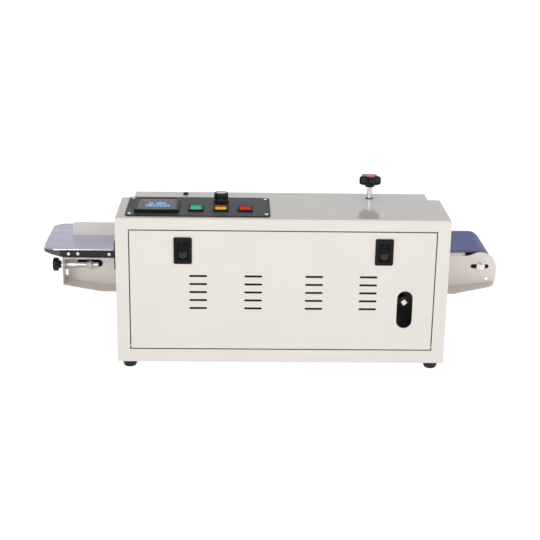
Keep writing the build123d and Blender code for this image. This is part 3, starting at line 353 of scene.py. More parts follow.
def dress_cad():
    for name, obj in frame["nodes"].items():
        obj.data.materials.clear()
        obj.data.materials.append(CAD_FINISH.get(name, BLACK))


# ---------------------------------------------------------------- building pieces

def as_mesh(name, shape):
    """A mesh of a Shape in housing mm, with joined points and faces that look outward."""
    mesh = bpy.data.meshes.new(name)
    mesh.from_pydata([at(*v) for v in shape.verts], [], shape.faces)
    b = bmesh.new()
    b.from_mesh(mesh)
    bmesh.ops.remove_doubles(b, verts=b.verts, dist=1e-6)
    bmesh.ops.recalc_face_normals(b, faces=b.faces)
    b.to_mesh(mesh)
    b.free()
    return mesh


def show(name, data):
    """A new object in the scene for a mesh, curve, light or camera."""
    obj = bpy.data.objects.new(name, data)
    bpy.context.scene.collection.objects.link(obj)
    return obj


def piece(name, shape, material, body="frame", stands_for=(), bevel=0.0, segments=2, smooth=35):
    """A mesh piece joined to a CAD body, in place of the CAD nodes it stands for."""
    obj = show(name, as_mesh(name, shape))
    obj.data.materials.append(material)
    sharpen(obj, smooth)
    if bevel:
        mod = obj.modifiers.new("bevel", "BEVEL")
        mod.width = bevel * MM
        mod.segments = segments
        mod.limit_method = "ANGLE"
        mod.angle_limit = math.radians(35)
        mod.harden_normals = True
    if body:
        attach(obj, body)
    if stands_for:
        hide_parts(*stands_for)
    return obj


def along(axis, u, v, t):
    """Two values across an axis and one along it, in x, y, z order."""
    return {"x": (t, u, v), "y": (u, t, v), "z": (u, v, t)}[axis]


class Shape:
    """Collects several simple solids into one mesh."""

    def __init__(self):
        self.verts, self.faces = [], []

    def add(self, verts, faces):
        n = len(self.verts)
        self.verts += verts
        self.faces += [tuple(i + n for i in f) for f in faces]
        return self

    def box(self, x, y, z):
        v = [(a, b, c) for a in x for b in y for c in z]
        f = [(0, 1, 3, 2), (4, 6, 7, 5), (0, 4, 5, 1), (2, 3, 7, 6), (0, 2, 6, 4), (1, 5, 7, 3)]
        return self.add(v, f)

    def loft(self, rings, closed_ends=True):
        """Quads between rings of equal length, ends filled."""
        n = len(rings[0])
        verts = [p for ring in rings for p in ring]
        faces = []
        for k in range(len(rings) - 1):
            for i in range(n):
                j = (i + 1) % n
                faces.append((k * n + i, k * n + j, (k + 1) * n + j, (k + 1) * n + i))
        if closed_ends:
            faces.append(tuple(range(n))[::-1])
            faces.append(tuple(range((len(rings) - 1) * n, len(rings) * n)))
        return self.add(verts, faces)

    def turned(self, origin, axis, profile, steps=64, wave=None, closed_ends=True):
        """A body of revolution: profile points are (radius, distance along the axis)."""
        rings = []
        for r, t in profile:
            ring = []
            for i in range(steps):
                a = TAU * i / steps
                rr = max(r * (wave(a, r, t) if wave else 1), 0.001)
                u, v = rr * math.cos(a), rr * math.sin(a)
                offset = {"x": (t, u, v), "y": (v, t, u), "z": (u, v, t)}[axis]
                ring.append(tuple(o + d for o, d in zip(origin, offset)))
            rings.append(ring)
        return self.loft(rings, closed_ends)

    def rod(self, origin, axis, radius, low, high, steps=64):
        """A plain cylinder between two distances along its axis."""
        return self.turned(origin, axis, [(HUB, low), (radius, low), (radius, high), (HUB, high)], steps)

    def tube(self, origin, axis, profile, steps=64):
        """A body of revolution with an open middle: the profile runs back to its first point."""
        return self.turned(origin, axis, [*profile, profile[0]], steps, closed_ends=False)

    def prism(self, outline, axis, low, high):
        """An outline of (u, v) points given thickness along an axis."""
        return self.loft([[along(axis, u, v, t) for u, v in outline] for t in (low, high)])


def rounded(x, y, r, steps=6):
    """Rounded rectangle outline between x and y limits."""
    points = []
    right, left, front, back = x[1] - r, x[0] + r, y[0] + r, y[1] - r
    corners = ((right, front, -90), (right, back, 0), (left, back, 90), (left, front, 180))
    for cx, cy, start in corners:
        for i in range(steps + 1):
            a = math.radians(start + 90 * i / steps)
            points.append((cx + r * math.cos(a), cy + r * math.sin(a)))
    return points


def ring_prism(shape, outer, inner, axis, low, high):
    """A frame: an outline with an opening, both with the same number of points."""
    n = len(outer)
    verts = [along(axis, u, v, t) for t in (low, high) for line in (outer, inner) for u, v in line]
    faces = []
    for i in range(n):
        j = (i + 1) % n
        faces.append((i, j, n + j, n + i))
        faces.append((2 * n + i, 3 * n + i, 3 * n + j, 2 * n + j))
        faces.append((i, 2 * n + i, 2 * n + j, j))
        faces.append((n + i, n + j, 3 * n + j, 3 * n + i))
    return shape.add(verts, faces)


def carve(obj, cutter_shape):
    """Cuts a shape out of a piece before its bevel."""
    cutter = show("cutter", as_mesh("cutter", cutter_shape))
    others = [(m, m.show_viewport) for m in obj.modifiers]
    for m, _ in others:
        m.show_viewport = False
    cut = obj.modifiers.new("cut", "BOOLEAN")
    cut.operation = "DIFFERENCE"
    cut.solver = "EXACT"
    cut.object = cutter
    bpy.context.view_layer.update()
    made = bpy.data.meshes.new_from_object(obj.evaluated_get(bpy.context.evaluated_depsgraph_get()))
    obj.modifiers.remove(cut)
    obj.data = made
    for m, shown in others:
        m.show_viewport = shown
    bpy.data.objects.remove(cutter)
    sharpen(obj)
    return obj


def cable(name, points, radius, material):
    """A round wire through a few points."""
    curve = bpy.data.curves.new(name, "CURVE")
    curve.dimensions = "3D"
    curve.bevel_depth = radius * MM
    curve.bevel_resolution = 4
    curve.use_fill_caps = True
    line = curve.splines.new("BEZIER")
    line.bezier_points.add(len(points) - 1)
    for p, b in zip(points, line.bezier_points):
        b.co = at(*p)
        b.handle_left_type = b.handle_right_type = "AUTO"
    line.resolution_u = 12
    curve.materials.append(material)
    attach(show(name, curve), "frame")


# ---------------------------------------------------------------- knobs, feet and screws

def star_knob():
    """Five-lobed pressure knob with its orange cap."""
    lo, hi = span("pressure_knob")
    cx, cy, _ = pivot("pressure_knob_turn")
    base, top = lo[2], hi[2] - 1

    def wave(a, _, t):
        lobes = 0.5 + 0.5 * math.cos(5 * (a + math.pi / 2))
        return 1 - 0.25 * (1 - lobes ** 0.75) * min(1, max(0, (t - base - 2.5) / 2))
    profile = [(HUB, base), (8.0, base), (8.8, base + 0.7), (9.6, base + 3.6), (13, base + 4.0),
               (17.2, base + 4.6),
               (19.0, base + 5.6), (19.7, base + 7.5), (20.0, base + 11), (19.9, base + 15),
               (19.4, base + 17.3),
               (18.2, base + 18.7), (16.2, base + 19.4), (12.5, base + 19.9), (10.3, base + 20.2),
               (9.8, base + 20.0), (9.7, base + 19.0), (HUB, base + 19.0)]
    piece("star_knob", Shape().turned((cx, cy, 0), "z", profile, 120, wave), GLOSSY, "press_knob",
          ["pressure_knob"], smooth=50)
    cap = [(HUB, top - 1), (9.5, top - 1), (9.5, top - 0.2), (9.2, top + 0.5), (8.4, top + 0.9),
           (6.0, top + 1.3),
           (3.0, top + 1.5), (HUB, top + 1.5)]
    piece("knob_cap", Shape().turned((cx, cy, 0), "z", cap, 64), ORANGE, "press_knob",
          ["pressure_knob_cap"], smooth=50)


def speed_knob():
    """Fluted speed knob with a bright disc, a pointer line and the spindle below."""
    lo, hi = span("speed_knob")
    cx, cy, _ = pivot("speed_knob_turn")
    base, top = lo[2], hi[2]

    def wave(a, r, t):
        if t < base + 4.2 or r < 10.4:
            return 1
        return 1 - 0.045 * (0.5 - 0.5 * math.cos(18 * a)) ** 0.6
    profile = [(HUB, base), (13.0, base), (13.5, base + 0.5), (13.5, base + 2.6), (13.2, base + 3.3),
               (12.8, base + 3.7), (12.6, base + 4.4), (12.5, base + 9), (12.3, top - 2.4),
               (12.1, top - 1.0),
               (11.6, top - 0.25), (11.0, top), (8.9, top), (8.7, top - 0.4), (HUB, top - 0.4)]
    piece("speed_knob_body", Shape().turned((cx, cy, 0), "z", profile, 216, wave), GLOSSY, "speed_knob",
          ["speed_knob"], smooth=40)
    cap = [(HUB, top - 0.6), (8.6, top - 0.6), (8.6, top + 0.15), (8.3, top + 0.4), (HUB, top + 0.45)]
    # The disc's light grey is a painted reflection.
    piece("speed_knob_disc", Shape().turned((cx, cy, 0), "z", cap, 72), DISC_LIT, "speed_knob",
          ["speed_knob_metal"])
    line = Shape().box((cx - 0.5, cx + 0.5), (cy + 3.0, cy + 8.2), (top + 0.42, top + 0.55))
    piece("speed_pointer", line, BLACK, "speed_knob")
    piece("speed_spindle", Shape().rod((cx, cy, 0), "z", 3, 256, base + 2, 32), TURNED, "speed_knob")


def tension_knob():
    """Ten-lobed knob at the left end, on the tension screw."""
    lo, hi = span("tension_knob")
    _, cy, cz = pivot("tension_knob_turn")
    left, right = lo[0], hi[0]

    def wave(a, r, t):
        if r < 11 or t > left + 10:
            return 1
        return 1 - 0.085 * (0.5 - 0.5 * math.cos(10 * a)) ** 1.5
    profile = [(HUB, left + 0.4), (6, left + 0.2), (10.5, left), (12.0, left + 0.6), (12.6, left + 2.0),
               (12.7, left + 5), (12.6, left + 8.2), (12.1, left + 9.4), (11.1, left + 10),
               (8.6, left + 10.3),
               (7.8, left + 11.2), (7.5, left + 12.4), (7.3, right - 0.6), (6.7, right), (HUB, right)]
    piece("tension_knob_body", Shape().turned((0, cy, cz), "x", profile, 120, wave), GLOSSY, "tension",
          ["tension_knob"], smooth=45)


def feet_places(height):
    """The middle of each foot, at a height."""
    lo, hi = span("feet")
    half = 12
    return [(x, y, height) for x in (lo[0] + half, hi[0] - half) for y in (lo[1] + half, hi[1] - half)]


def feet():
    """Tapered rubber feet, recessed from below round their screws."""
    top = span("feet")[1][2]
    profile = [(4.6, 5.0), (4.6, 0.8), (5.4, 0), (8.6, 0), (10.2, 0.9), (11.6, 4.2), (11.5, 4.6),
               (11.9, 5.0),
               (13.6, 12.4), (13.7, 13.4), (13.2, top), (2.2, top), (2.2, 5.0)]
    s = Shape()
    for place in feet_places(0):
        s.tube(place, "z", profile, 48)
    piece("rubber_feet", s, RUBBER, stands_for=["feet"], smooth=40)


def cross_head(name, place, axis, radius, rise, outward=1, stands_for=()):
    """Pan head with a cross recess, seen along its axis."""
    dome = [(HUB, 0), (radius, 0), (radius, rise * 0.35), (radius * 0.93, rise * 0.68),
            (radius * 0.72, rise * 0.9), (radius * 0.4, rise), (HUB, rise * 1.02)]
    dome = [(r, t * outward) for r, t in dome]
    head = piece(name, Shape().turned(place, axis, dome, 40), BRIGHT, stands_for=stands_for, smooth=50)
    arm, wide = radius * 0.58, radius * 0.13
    depth = sorted((outward * rise * 0.45, outward * rise * 1.5))
    for u, v in ((arm, wide), (wide, arm)):
        sides = along(axis, (-u, u), (-v, v), depth)
        carve(head, Shape().box(*[(c + a, c + b) for c, (a, b) in zip(place, sides)]))


def screws():
    """Bright cross-head screws of the panel, the tray strip, the inlet, the fence and the feet."""
    lo, hi = span("panel_plate")
    corners = [(x, y, hi[2]) for x in (lo[0] + 7, hi[0] - 7) for y in (lo[1] + 12, hi[1] - 12)]
    for i, place in enumerate(corners):
        cross_head(f"panel_screw_{i}", place, "z", 3.6, 1.9, stands_for=["screws"] if i == 0 else ())
    strip_y = span("tray_strip")[0][1]
    for i, (x, z) in enumerate(((-388, 152.2), (-371, 152.6), (-313.5, 151.8))):
        cross_head(f"tray_screw_{i}", (x, strip_y, z), "y", 3.3, 2.0, -1)
    lo, hi = span("power_inlet")
    outer, inner = [rounded((lo[1] - g, hi[1] + g), (lo[2] - g, hi[2] + g), 3 + g) for g in (0.35, -2.2)]
    rim = ring_prism(Shape(), outer, inner, "x", lo[0] - 0.5, lo[0] + 0.6)
    piece("inlet_rim", rim, BLACK, bevel=0.2)
    for i, z in enumerate((lo[2] + 2.7, hi[2] - 2.7)):
        cross_head(f"inlet_screw_{i}", (lo[0], 29, z), "x", 2.9, 1.4, -1)
    fence_z = span("bag_fence")[0][2] + 1.5
    for i, x in enumerate((-370, -305)):
        cross_head(f"fence_screw_{i}", (x, 279, fence_z), "z", 3.3, 1.9)
    for i, place in enumerate(feet_places(6)):
        cross_head(f"foot_screw_{i}", place, "z", 4.3, 2.4, -1)


# ---------------------------------------------------------------- control panel

SEGMENTS = {"0": "abcdef", "1": "bc", "2": "abged", "8": "abcdefg"}


def digit(shape, char, x, y, w, h, z):
    """A seven-segment figure lying on the face; x, y is its lower-left corner."""
    t = w * 0.28
    mid, gap = y + h / 2, t * 0.3
    middle, left, right = (x + t, x + w - t), (x, x + t), (x + w - t, x + w)
    upper, lower = (mid + gap, y + h - gap), (y + gap, mid - gap)
    bars = {"a": (middle, (y + h - t, y + h)), "b": (right, upper), "c": (right, lower),
            "d": (middle, (y, y + t)),
            "e": (left, lower), "f": (left, upper), "g": (middle, (mid - t / 2, mid + t / 2))}
    for key in SEGMENTS[char]:
        shape.box(*bars[key], z)


def controller_face():
    """A red band, a row of small marks and two rows of lit figures, raised a little from the face."""
    lo, hi = span("controller_face")
    cx, cy = (lo[0] + hi[0]) / 2, (lo[1] + hi[1]) / 2
    z = (hi[2], hi[2] + 0.12)
    band = Shape().prism(rounded((lo[0] + 1.5, hi[0] - 1.5), (hi[1] - 7.8, hi[1] - 1.2), 1.2), "z", *z)
    piece("face_band", band, RED_BAND, bevel=0.04)
    marks = Shape()
    for i in range(6):
        x = lo[0] + 8 + i * 9.6
        marks.prism(rounded((x - 2.0, x + 2.0), (hi[1] - 13.4, hi[1] - 11.0), 0.4), "z", *z)
    piece("face_icons", marks, LABEL)
    rows = Shape()
    for text, x, y, w, h, gap in (("0180", cx - 14.6, cy + 0.5, 6.2, 11.0, 7.4),
                                  ("00200", cx - 18.2, cy - 16.5, 7.0, 13.0, 8.0)):
        for i, char in enumerate(text):
            digit(rows, char, x + i * gap, y, w, h, z)
    piece("lcd_digits", rows, DIGIT)


def controller():
    """The instrument's bezel, its case below the panel and the terminals underneath."""
    controller_face()
    lo, hi = span("controller_body")
    cx, cy = (lo[0] + hi[0]) / 2, (lo[1] + hi[1]) / 2
    half = (hi[0] - lo[0]) / 2
    outer = rounded((cx - half, cx + half), (cy - half, cy + half), 3.5)
    inner = rounded((cx - half + 5.1, cx + half - 5.1), (cy - half + 4.1, cy + half - 4.1), 2.2)
    rim = ring_prism(Shape(), outer, inner, "z", hi[2] - 5, hi[2])
    black = finish("bezel", (0.006, 0.006, 0.007), 0.4, mottle=0.1, wear=0.1, specular=0.2)
    bezel = split_by_place(black, "Z", (hi[2] - 0.7) * MM, FACE_COLOUR)
    piece("controller_bezel", rim, bezel, bevel=0.7, segments=3)
    case, low = 33.7, 196
    body = Shape().box((cx - case, cx + case), (cy - case, cy + case), (low, hi[2] - 4.8))
    for i in range(7):
        body.box((cx - 20, cx + 20), (cy - 34.3, cy - 33.6), (205 + i * 8, 208 + i * 8))
    body.box((cx - 30, cx + 30), (cy - 25, cy + 25), (lo[2] + 1, low + 0.2))
    piece("controller_case", body, BLACK, stands_for=["controller_body"], bevel=0.4)
    ends = Shape()
    profile = [(HUB, lo[2]), (2.0, lo[2]), (2.2, lo[2] + 1.2), (HUB, lo[2] + 1.2)]
    for i in range(9):
        for y in (cy - 20, cy + 20):
            ends.turned((cx - 27 + i * 6.75, y, 0), "z", profile, 16)
    piece("controller_terminals", ends, BRASS)


def rockers():
    """Lit rockers, tilted one way as the CAD's are, in frames over open-topped housings."""
    tilt = math.radians(7)
    outline = [(-12.9, 5.0), (-12.3, 5.5), (-0.6, 6.9), (0.6, 6.9), (12.3, 5.5), (12.9, 5.0),
               (11.4, -1.5), (4, -5), (-4, -5), (-11.4, -1.5)]
    lo, hi = span("switch_housings")
    top, floor = hi[2], 262
    frames, wells = Shape(), Shape()
    for name, material in (("green", GREEN_LENS), ("yellow", YELLOW_LENS), ("red", RED_LENS)):
        x, y, z = pivot(f"{name}_rocker_tilt")
        turned = [(y + u * math.cos(tilt) - v * math.sin(tilt), z + u * math.sin(tilt) + v * math.cos(tilt))
                  for u, v in outline]
        rocker = Shape().prism(turned, "x", x - 9.5, x + 9.5)
        piece(f"rocker_lens_{name}", rocker, material, f"rocker_{name}", [f"rocker_{name}"], 0.5, 3)

        def window(half_x, half_y, r):
            return rounded((x - half_x, x + half_x), (y - half_y, y + half_y), r)
        ring_prism(frames, window(13.5, 17, 2.5), window(9.8, 13.8, 1.0), "z", top - 2.4, top)
        ring_prism(wells, window(10.8, 14.3, 0.8), window(9.8, 13.8, 0.6), "z", floor, top - 2.2)
        wells.box((x - 10.8, x + 10.8), (y - 14.3, y + 14.3), (lo[2], floor + 0.2))
    piece("switch_frames", frames, BLACK, stands_for=["switch_housings"], bevel=0.7, segments=3)
    piece("switch_bodies", wells, BLACK, bevel=0.3)


# ---------------------------------------------------------------- door latches

def latch_thumb(name, x, mid, body):
    """A slider with a bowed, ribbed thumb pad and three raised chevrons, lighter than the slider as a
    painted highlight on their ridges.
    """
    slider = Shape()
    slider.box((x - 7.8, x + 7.8), (1.7, 3.5), (mid - 13, mid + 10))
    slider.box((x - 7.8, x + 7.8), (3.4, 6.0), (mid - 13, span("latch_slider_left")[1][2]))
    ribs, pad = 14, 22
    for i in range(ribs):
        t = i / (ribs - 1)
        y = 1.4 - 2.6 * math.sin(math.pi * t) ** 0.8
        z = mid - 13 + pad * t
        slider.box((x - 7.4, x + 7.4), (y, 1.9), (z, z + pad / ribs + 0.02))
    piece(f"latch_thumb_{name}", slider, BLACK, body, [f"latch_slider_{name}"], bevel=0.25)
    chevrons, half = Shape(), 6.5
    for k in range(3):
        z = mid - 5.5 - 3.4 * k
        outline = [(x - half, z + 3.4), (x - half, z + 1.8), (x, z - 1.6), (x + half, z + 1.8),
                   (x + half, z + 3.4), (x, z)]
        chevrons.prism(outline, "y", -1.75, 0.5)
    # The chevrons' lighter grey is a painted highlight.
    piece(f"latch_chevron_{name}", chevrons, GRIP_HIGHLIGHT, body, bevel=0.2)


def latches():
    """Two thumb latches: a flanged frame on the door, a boxed back behind it and the slider."""
    lo, hi = span("latch_bodies")
    half_w, low, high = 15.5, lo[2], hi[2]
    mid = (low + high) / 2
    frames, backs = Shape(), Shape()
    for name, x in (("left", lo[0] + half_w), ("right", hi[0] - half_w)):
        outer = rounded((x - half_w, x + half_w), (low, high), 3.0)
        inner = rounded((x - 10.8, x + 10.8), (mid - 16.5, mid + 15), 1.4)
        ring_prism(frames, outer, inner, "y", lo[1], 0)
        back_in = rounded((x - 8.2, x + 8.2), (mid - 15, mid + 21), 1.0)
        back_out = rounded((x - 13.8, x + 13.8), (mid - 21.3, mid + 21.3), 1.0)
        ring_prism(backs, back_out, back_in, "y", 0, 9.8)
        backs.box((x - 13.8, x + 13.8), (6.8, 9.8), (mid - 21.3, mid + 21.3))
        latch_thumb(name, x, mid, f"latch_{name}")
    piece("latch_frames", frames, BLACK, "door", ["latch_bodies"], 0.8, 3)
    piece("latch_backs", backs, BLACK, "door", bevel=0.3)


# ---------------------------------------------------------------- belts and chains

def tangents(wheels):
    """The direction out of each wheel's middle to the straight stretch that follows it."""
    normals = []
    for i, (x1, z1, r1, s1) in enumerate(wheels):
        x2, z2, r2, s2 = wheels[(i + 1) % len(wheels)]
        d = math.hypot(x2 - x1, z2 - z1)
        ux, uz = (x2 - x1) / d, (z2 - z1) / d
        lean = (s2 * r2 - s1 * r1) / d
        rest = math.sqrt(1 - lean * lean)
        normals.append((lean * ux - rest * uz, lean * uz + rest * ux))
    return normals


def path(wheels, step):
    """Even points (x, z, inward x, inward z) along a line led round wheels (x, z, radius, side)."""
    normals = tangents(wheels)
    dense = []
    for i, (x, z, r, s) in enumerate(wheels):
        n_in, n_out = normals[i - 1], normals[i]
        a_in, a_out = math.atan2(n_in[1], n_in[0]), math.atan2(n_out[1], n_out[0])
        turn = (s * (a_out - a_in)) % TAU
        count = max(2, int(turn * r / 0.5))
        for k in range(count):
            a = a_in + s * turn * k / count
            dense.append((x - s * r * math.cos(a), z - s * r * math.sin(a), math.cos(a), math.sin(a)))
        nx, nz, nr, ns = wheels[(i + 1) % len(wheels)]
        p = (x - s * r * n_out[0], z - s * r * n_out[1])
        q = (nx - ns * nr * n_out[0], nz - ns * nr * n_out[1])
        count = max(2, int(math.dist(p, q) / 0.5))
        for k in range(count):
            f = k / count
            dense.append((p[0] + (q[0] - p[0]) * f, p[1] + (q[1] - p[1]) * f, *n_out))
    lengths = [0.0]
    for i in range(len(dense)):
        a, b = dense[i], dense[(i + 1) % len(dense)]
        lengths.append(lengths[-1] + math.dist(a[:2], b[:2]))
    total = lengths[-1]
    count = round(total / step)
    out, j = [], 0
    for k in range(count):
        target = total * k / count
        while lengths[j + 1] < target:
            j += 1
        a, b = dense[j], dense[(j + 1) % len(dense)]
        f = (target - lengths[j]) / (lengths[j + 1] - lengths[j])
        out.append(tuple(p + (q - p) * f for p, q in zip(a, b)))
    return out


def conveyor_belt():
    """The blue belt round its five rollers."""
    lo, hi = span("conveyor_belt")
    tail, left, drive, right, head = [pivot(f"{name}_turn") for name in (
        "tail_roller", "snub_left", "conveyor_drive", "snub_right", "head_roller")]
    thick, edge, across, snub_r, drive_r = 1.8, 0.45, 14, 9.8, 20.0
    r = (hi[2] - lo[2]) / 2 - thick
    wheels = [(*tail[::2], r, 1), (*left[::2], snub_r, -1), (*drive[::2], drive_r, 1),
              (*right[::2], snub_r, -1), (*head[::2], r, 1)]
    ys = [lo[1] + (hi[1] - lo[1]) * i / across for i in range(across + 1)]
    upper = [(ys[0], thick - edge), (ys[0] + edge, thick), *[(y, thick) for y in ys[1:-1]],
             (ys[-1] - edge, thick), (ys[-1], thick - edge)]
    section = upper + [(y, 0) for y in reversed(ys)]
    rings = [[(x - ix * t, y, z - iz * t) for y, t in section] for x, z, ix, iz in path(wheels, 3.0)]
    belt = piece("belt_loop", Shape().loft(rings + rings[:1], closed_ends=False), BLUE, None,
                 ["conveyor_belt"], smooth=50)
    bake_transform(belt)


CHAIN_PITCH = 6.35


def pitch_radius(teeth):
    """Radius of the chain's line round a sprocket."""
    return CHAIN_PITCH / (2 * math.sin(math.pi / teeth))


def chain(rollers, plates, wheels, y):
    """Roller chain: rollers with figure-eight plates, outer and inner by turns."""
    points = path(wheels, CHAIN_PITCH)
    if len(points) % 2:
        points = path(wheels, CHAIN_PITCH * len(points) / (len(points) + 1))
    roller_r, pin_r, plate_r, plate = 1.65, 0.9, 2.35, 0.6
    for i, (x, z, _, _) in enumerate(points):
        rollers.rod((x, y, z), "y", roller_r, -1.6, 1.6, 12)
        rollers.rod((x, y, z), "y", pin_r, -3.1, 3.1, 10)
        x2, z2 = points[(i + 1) % len(points)][:2]
        d = math.dist((x, z), (x2, z2))
        ux, uz = (x2 - x) / d, (z2 - z) / d
        outline = []
        for cx, cz, start in ((x, z, 90), (x2, z2, -90)):
            for k in range(9):
                a = math.radians(start + 180 * k / 8)
                u, v = plate_r * math.cos(a), plate_r * math.sin(a)
                outline.append((cx + u * ux - v * uz, cz + u * uz + v * ux))
        inner = 1.65 if i % 2 else 2.3
        for side in (-1, 1):
            plates.prism(outline, "y", *sorted((y + side * inner, y + side * (inner + plate))))


def chains():
    """Motor to lower drive shaft, and lower drive shaft to conveyor shaft."""
    motor_x, _, motor_z = pivot("motor_turn")
    low_x, _, low_z = pivot("lower_drive_turn")
    conveyor_x, _, conveyor_z = pivot("conveyor_drive_turn")
    lo, hi = span("drive_chains")
    half_width = 2.6
    rollers, plates = Shape(), Shape()
    small = pitch_radius(13)
    chain(rollers, plates, [(motor_x, motor_z, small, 1), (low_x, low_z, pitch_radius(21), 1)],
          hi[1] - half_width)
    chain(rollers, plates, [(conveyor_x, conveyor_z, small, 1), (low_x, low_z, pitch_radius(17), 1)],
          lo[1] + half_width)
    piece("chain_rollers", rollers, TURNED, smooth=40)
    piece("chain_plates", plates, PLATE, stands_for=["drive_chains"], smooth=40)


# ---------------------------------------------------------------- wheels of the sealing head

def seal_wheels():
    """Rubber-tyred wheels of the sealing head: an alloy hub with five holes, and a nut at the front."""
    y0, y1 = 147, 162
    rim_r, hole_r, holes = 21.6, 2.9, 5
    hub = [(5.0, y0), (rim_r, y0), (rim_r, y1 - 0.4), (20.6, y1), (19.2, y1), (18.6, y1 - 0.6),
           (18.2, y1 - 4),
           (10.8, y1 - 4), (10.2, y1 - 0.5), (9.6, y1), (5.0, y1)]
    tyre = [(rim_r, y0 + 0.1), (26.2, y0 + 0.1), (26.9, y0 + 0.8), (26.95, y1 - 0.8), (26.2, y1 - 0.1),
            (rim_r, y1 - 0.1)]
    nut = [(HUB, y1), (8, y1), (8, y1 + 1), (5.5, y1 + 1.2), (5.5, y1 + 3.4), (HUB, y1 + 3.6)]
    axle = [(HUB, 114), (7.6, 114), (8, 114.4), (8, 118), (5, 118), (5, y1 - 1), (HUB, y1 - 1)]
    for name in ("lower_drive", "upper_drive", "lower_driven", "upper_driven"):
        x, _, z = pivot(f"{name}_turn")
        middle = (x, 0, z)
        wheel = piece(f"{name}_hub", Shape().tube(middle, "y", hub), ALLOY, name, smooth=40)
        for i in range(holes):
            a = math.pi / 2 + i * TAU / holes
            place = (x + 14.6 * math.cos(a), 0, z + 14.6 * math.sin(a))
            carve(wheel, Shape().rod(place, "y", hole_r, y0 - 2, y1 + 2, 24))
        piece(f"{name}_tyre", Shape().tube(middle, "y", tyre, 96), SILICONE, name, [f"{name}_wheel"],
              smooth=40)
        piece(f"{name}_nut", Shape().turned(middle, "y", nut, 6), BRIGHT, name, bevel=0.4)
        if "driven" in name:
            piece(f"{name}_axle", Shape().turned(middle, "y", axle, 40), TURNED, name)


# ---------------------------------------------------------------- motor, fan and electrics

def motor():
    """Gear motor: a ribbed can with a plain plate on it, and an eight-sided gearbox with its bolts."""
    x, _, z = pivot("motor_turn")
    can = [(HUB, 10), (7, 10), (8, 11), (18, 11.4), (18, 14), (26.5, 14.4), (28.6, 16.5), (29, 19),
           (29, 22),
           (28.4, 22.6), (28.4, 53), (29, 53.6), (29, 61), (28.2, 62), (HUB, 62)]
    piece("motor_can", Shape().turned((x, 0, z), "y", can, 72), BLACK)
    ribs, count = Shape(), 24
    plate_start, plate_end = 0.95, 2.15
    for a in [TAU * i / count for i in range(count)]:
        if plate_start < a + 0.05 and a < plate_end + 0.05:
            continue
        c, s = math.cos(a), math.sin(a)
        corners = ((28.2, -0.7), (30.0, -0.5), (30.0, 0.5), (28.2, 0.7))
        ribs.prism([(x + r * c - w * s, z + r * s + w * c) for r, w in corners], "y", 24, 52)
    piece("motor_ribs", ribs, BLACK, bevel=0.2)
    plate, parts = Shape(), 12
    inside, outside = 28.35, 28.8
    for i in range(parts):
        a0, a1 = [plate_start + 1.2 * k / parts for k in (i, i + 1)]
        corners = ((inside, a0), (outside, a0), (outside, a1), (inside, a1))
        plate.prism([(x + r * math.cos(a), z + r * math.sin(a)) for r, a in corners], "y", 27, 49)
    piece("motor_plate", plate, LABEL)
    half, cut = 34, 8
    box = [(-half + cut, -half), (half - cut, -half), (half, -half + cut), (half, half - cut),
           (half - cut, half), (-half + cut, half), (-half, half - cut), (-half, -half + cut)]
    box = [(x + u, z + v) for u, v in box]
    gearbox = Shape().prism(box, "y", 62.2, 75.6).prism(box, "y", 76.2, 89.9)
    gearbox.turned((x, 0, z), "y", [(HUB, 89), (14, 89), (13.6, 92), (5.2, 92), (5.2, 90)], 40)
    piece("gearbox", gearbox, ALLOY, stands_for=["gear_motor"], bevel=1.2, segments=3)
    bolts, bolt_circle = Shape(), 38
    bolt = [(HUB, 59.8), (2.9, 59.8), (3.2, 60.2), (3.2, 62.2), (HUB, 62.2)]
    for i in range(4):
        a = math.pi / 4 + i * math.pi / 2
        bolts.turned((x + bolt_circle * math.cos(a), 0, z + bolt_circle * math.sin(a)), "y", bolt, 24)
    piece("gearbox_bolts", bolts, BRIGHT)


def fan():
    """The fan's hub and its seven twisted blades."""
    x, y, z = pivot("fan_turn")
    hub = [(HUB, 18), (13.5, 18), (15, 19.2), (15, 37.0), (14.5, 37.8), (HUB, 37.8)]
    piece("fan_hub", Shape().turned((x, 0, z), "y", hub, 48), BLACK, "fan", ["fan_rotor"])
    blades, count, steps = Shape(), 7, 8
    section = ((-0.5, 0), (-0.25, 0.45), (0, 0.6), (0.25, 0.5), (0.5, 0), (0.25, -0.2), (0, -0.3),
               (-0.25, -0.35))
    for k in range(count):
        rings = []
        for f in [i / steps for i in range(steps + 1)]:
            r = 14.5 + 22.2 * f
            pitch = math.radians(52 - 24 * f)
            chord = 15 + 7 * f
            sweep = TAU * k / count + 0.28 * f ** 1.3
            ring = []
            for u, w in section:
                onward, thick = u * chord, w * 1.3 + 1.6 * (1 - 4 * u * u) * 0.5
                a = sweep + (onward * math.cos(pitch) - thick * math.sin(pitch)) / r
                depth = y + onward * math.sin(pitch) + thick * math.cos(pitch)
                ring.append((x + r * math.cos(a), depth, z + r * math.sin(a)))
            rings.append(ring)
        blades.loft(rings)
    piece("fan_blades", blades, BLACK, "fan", smooth=60)


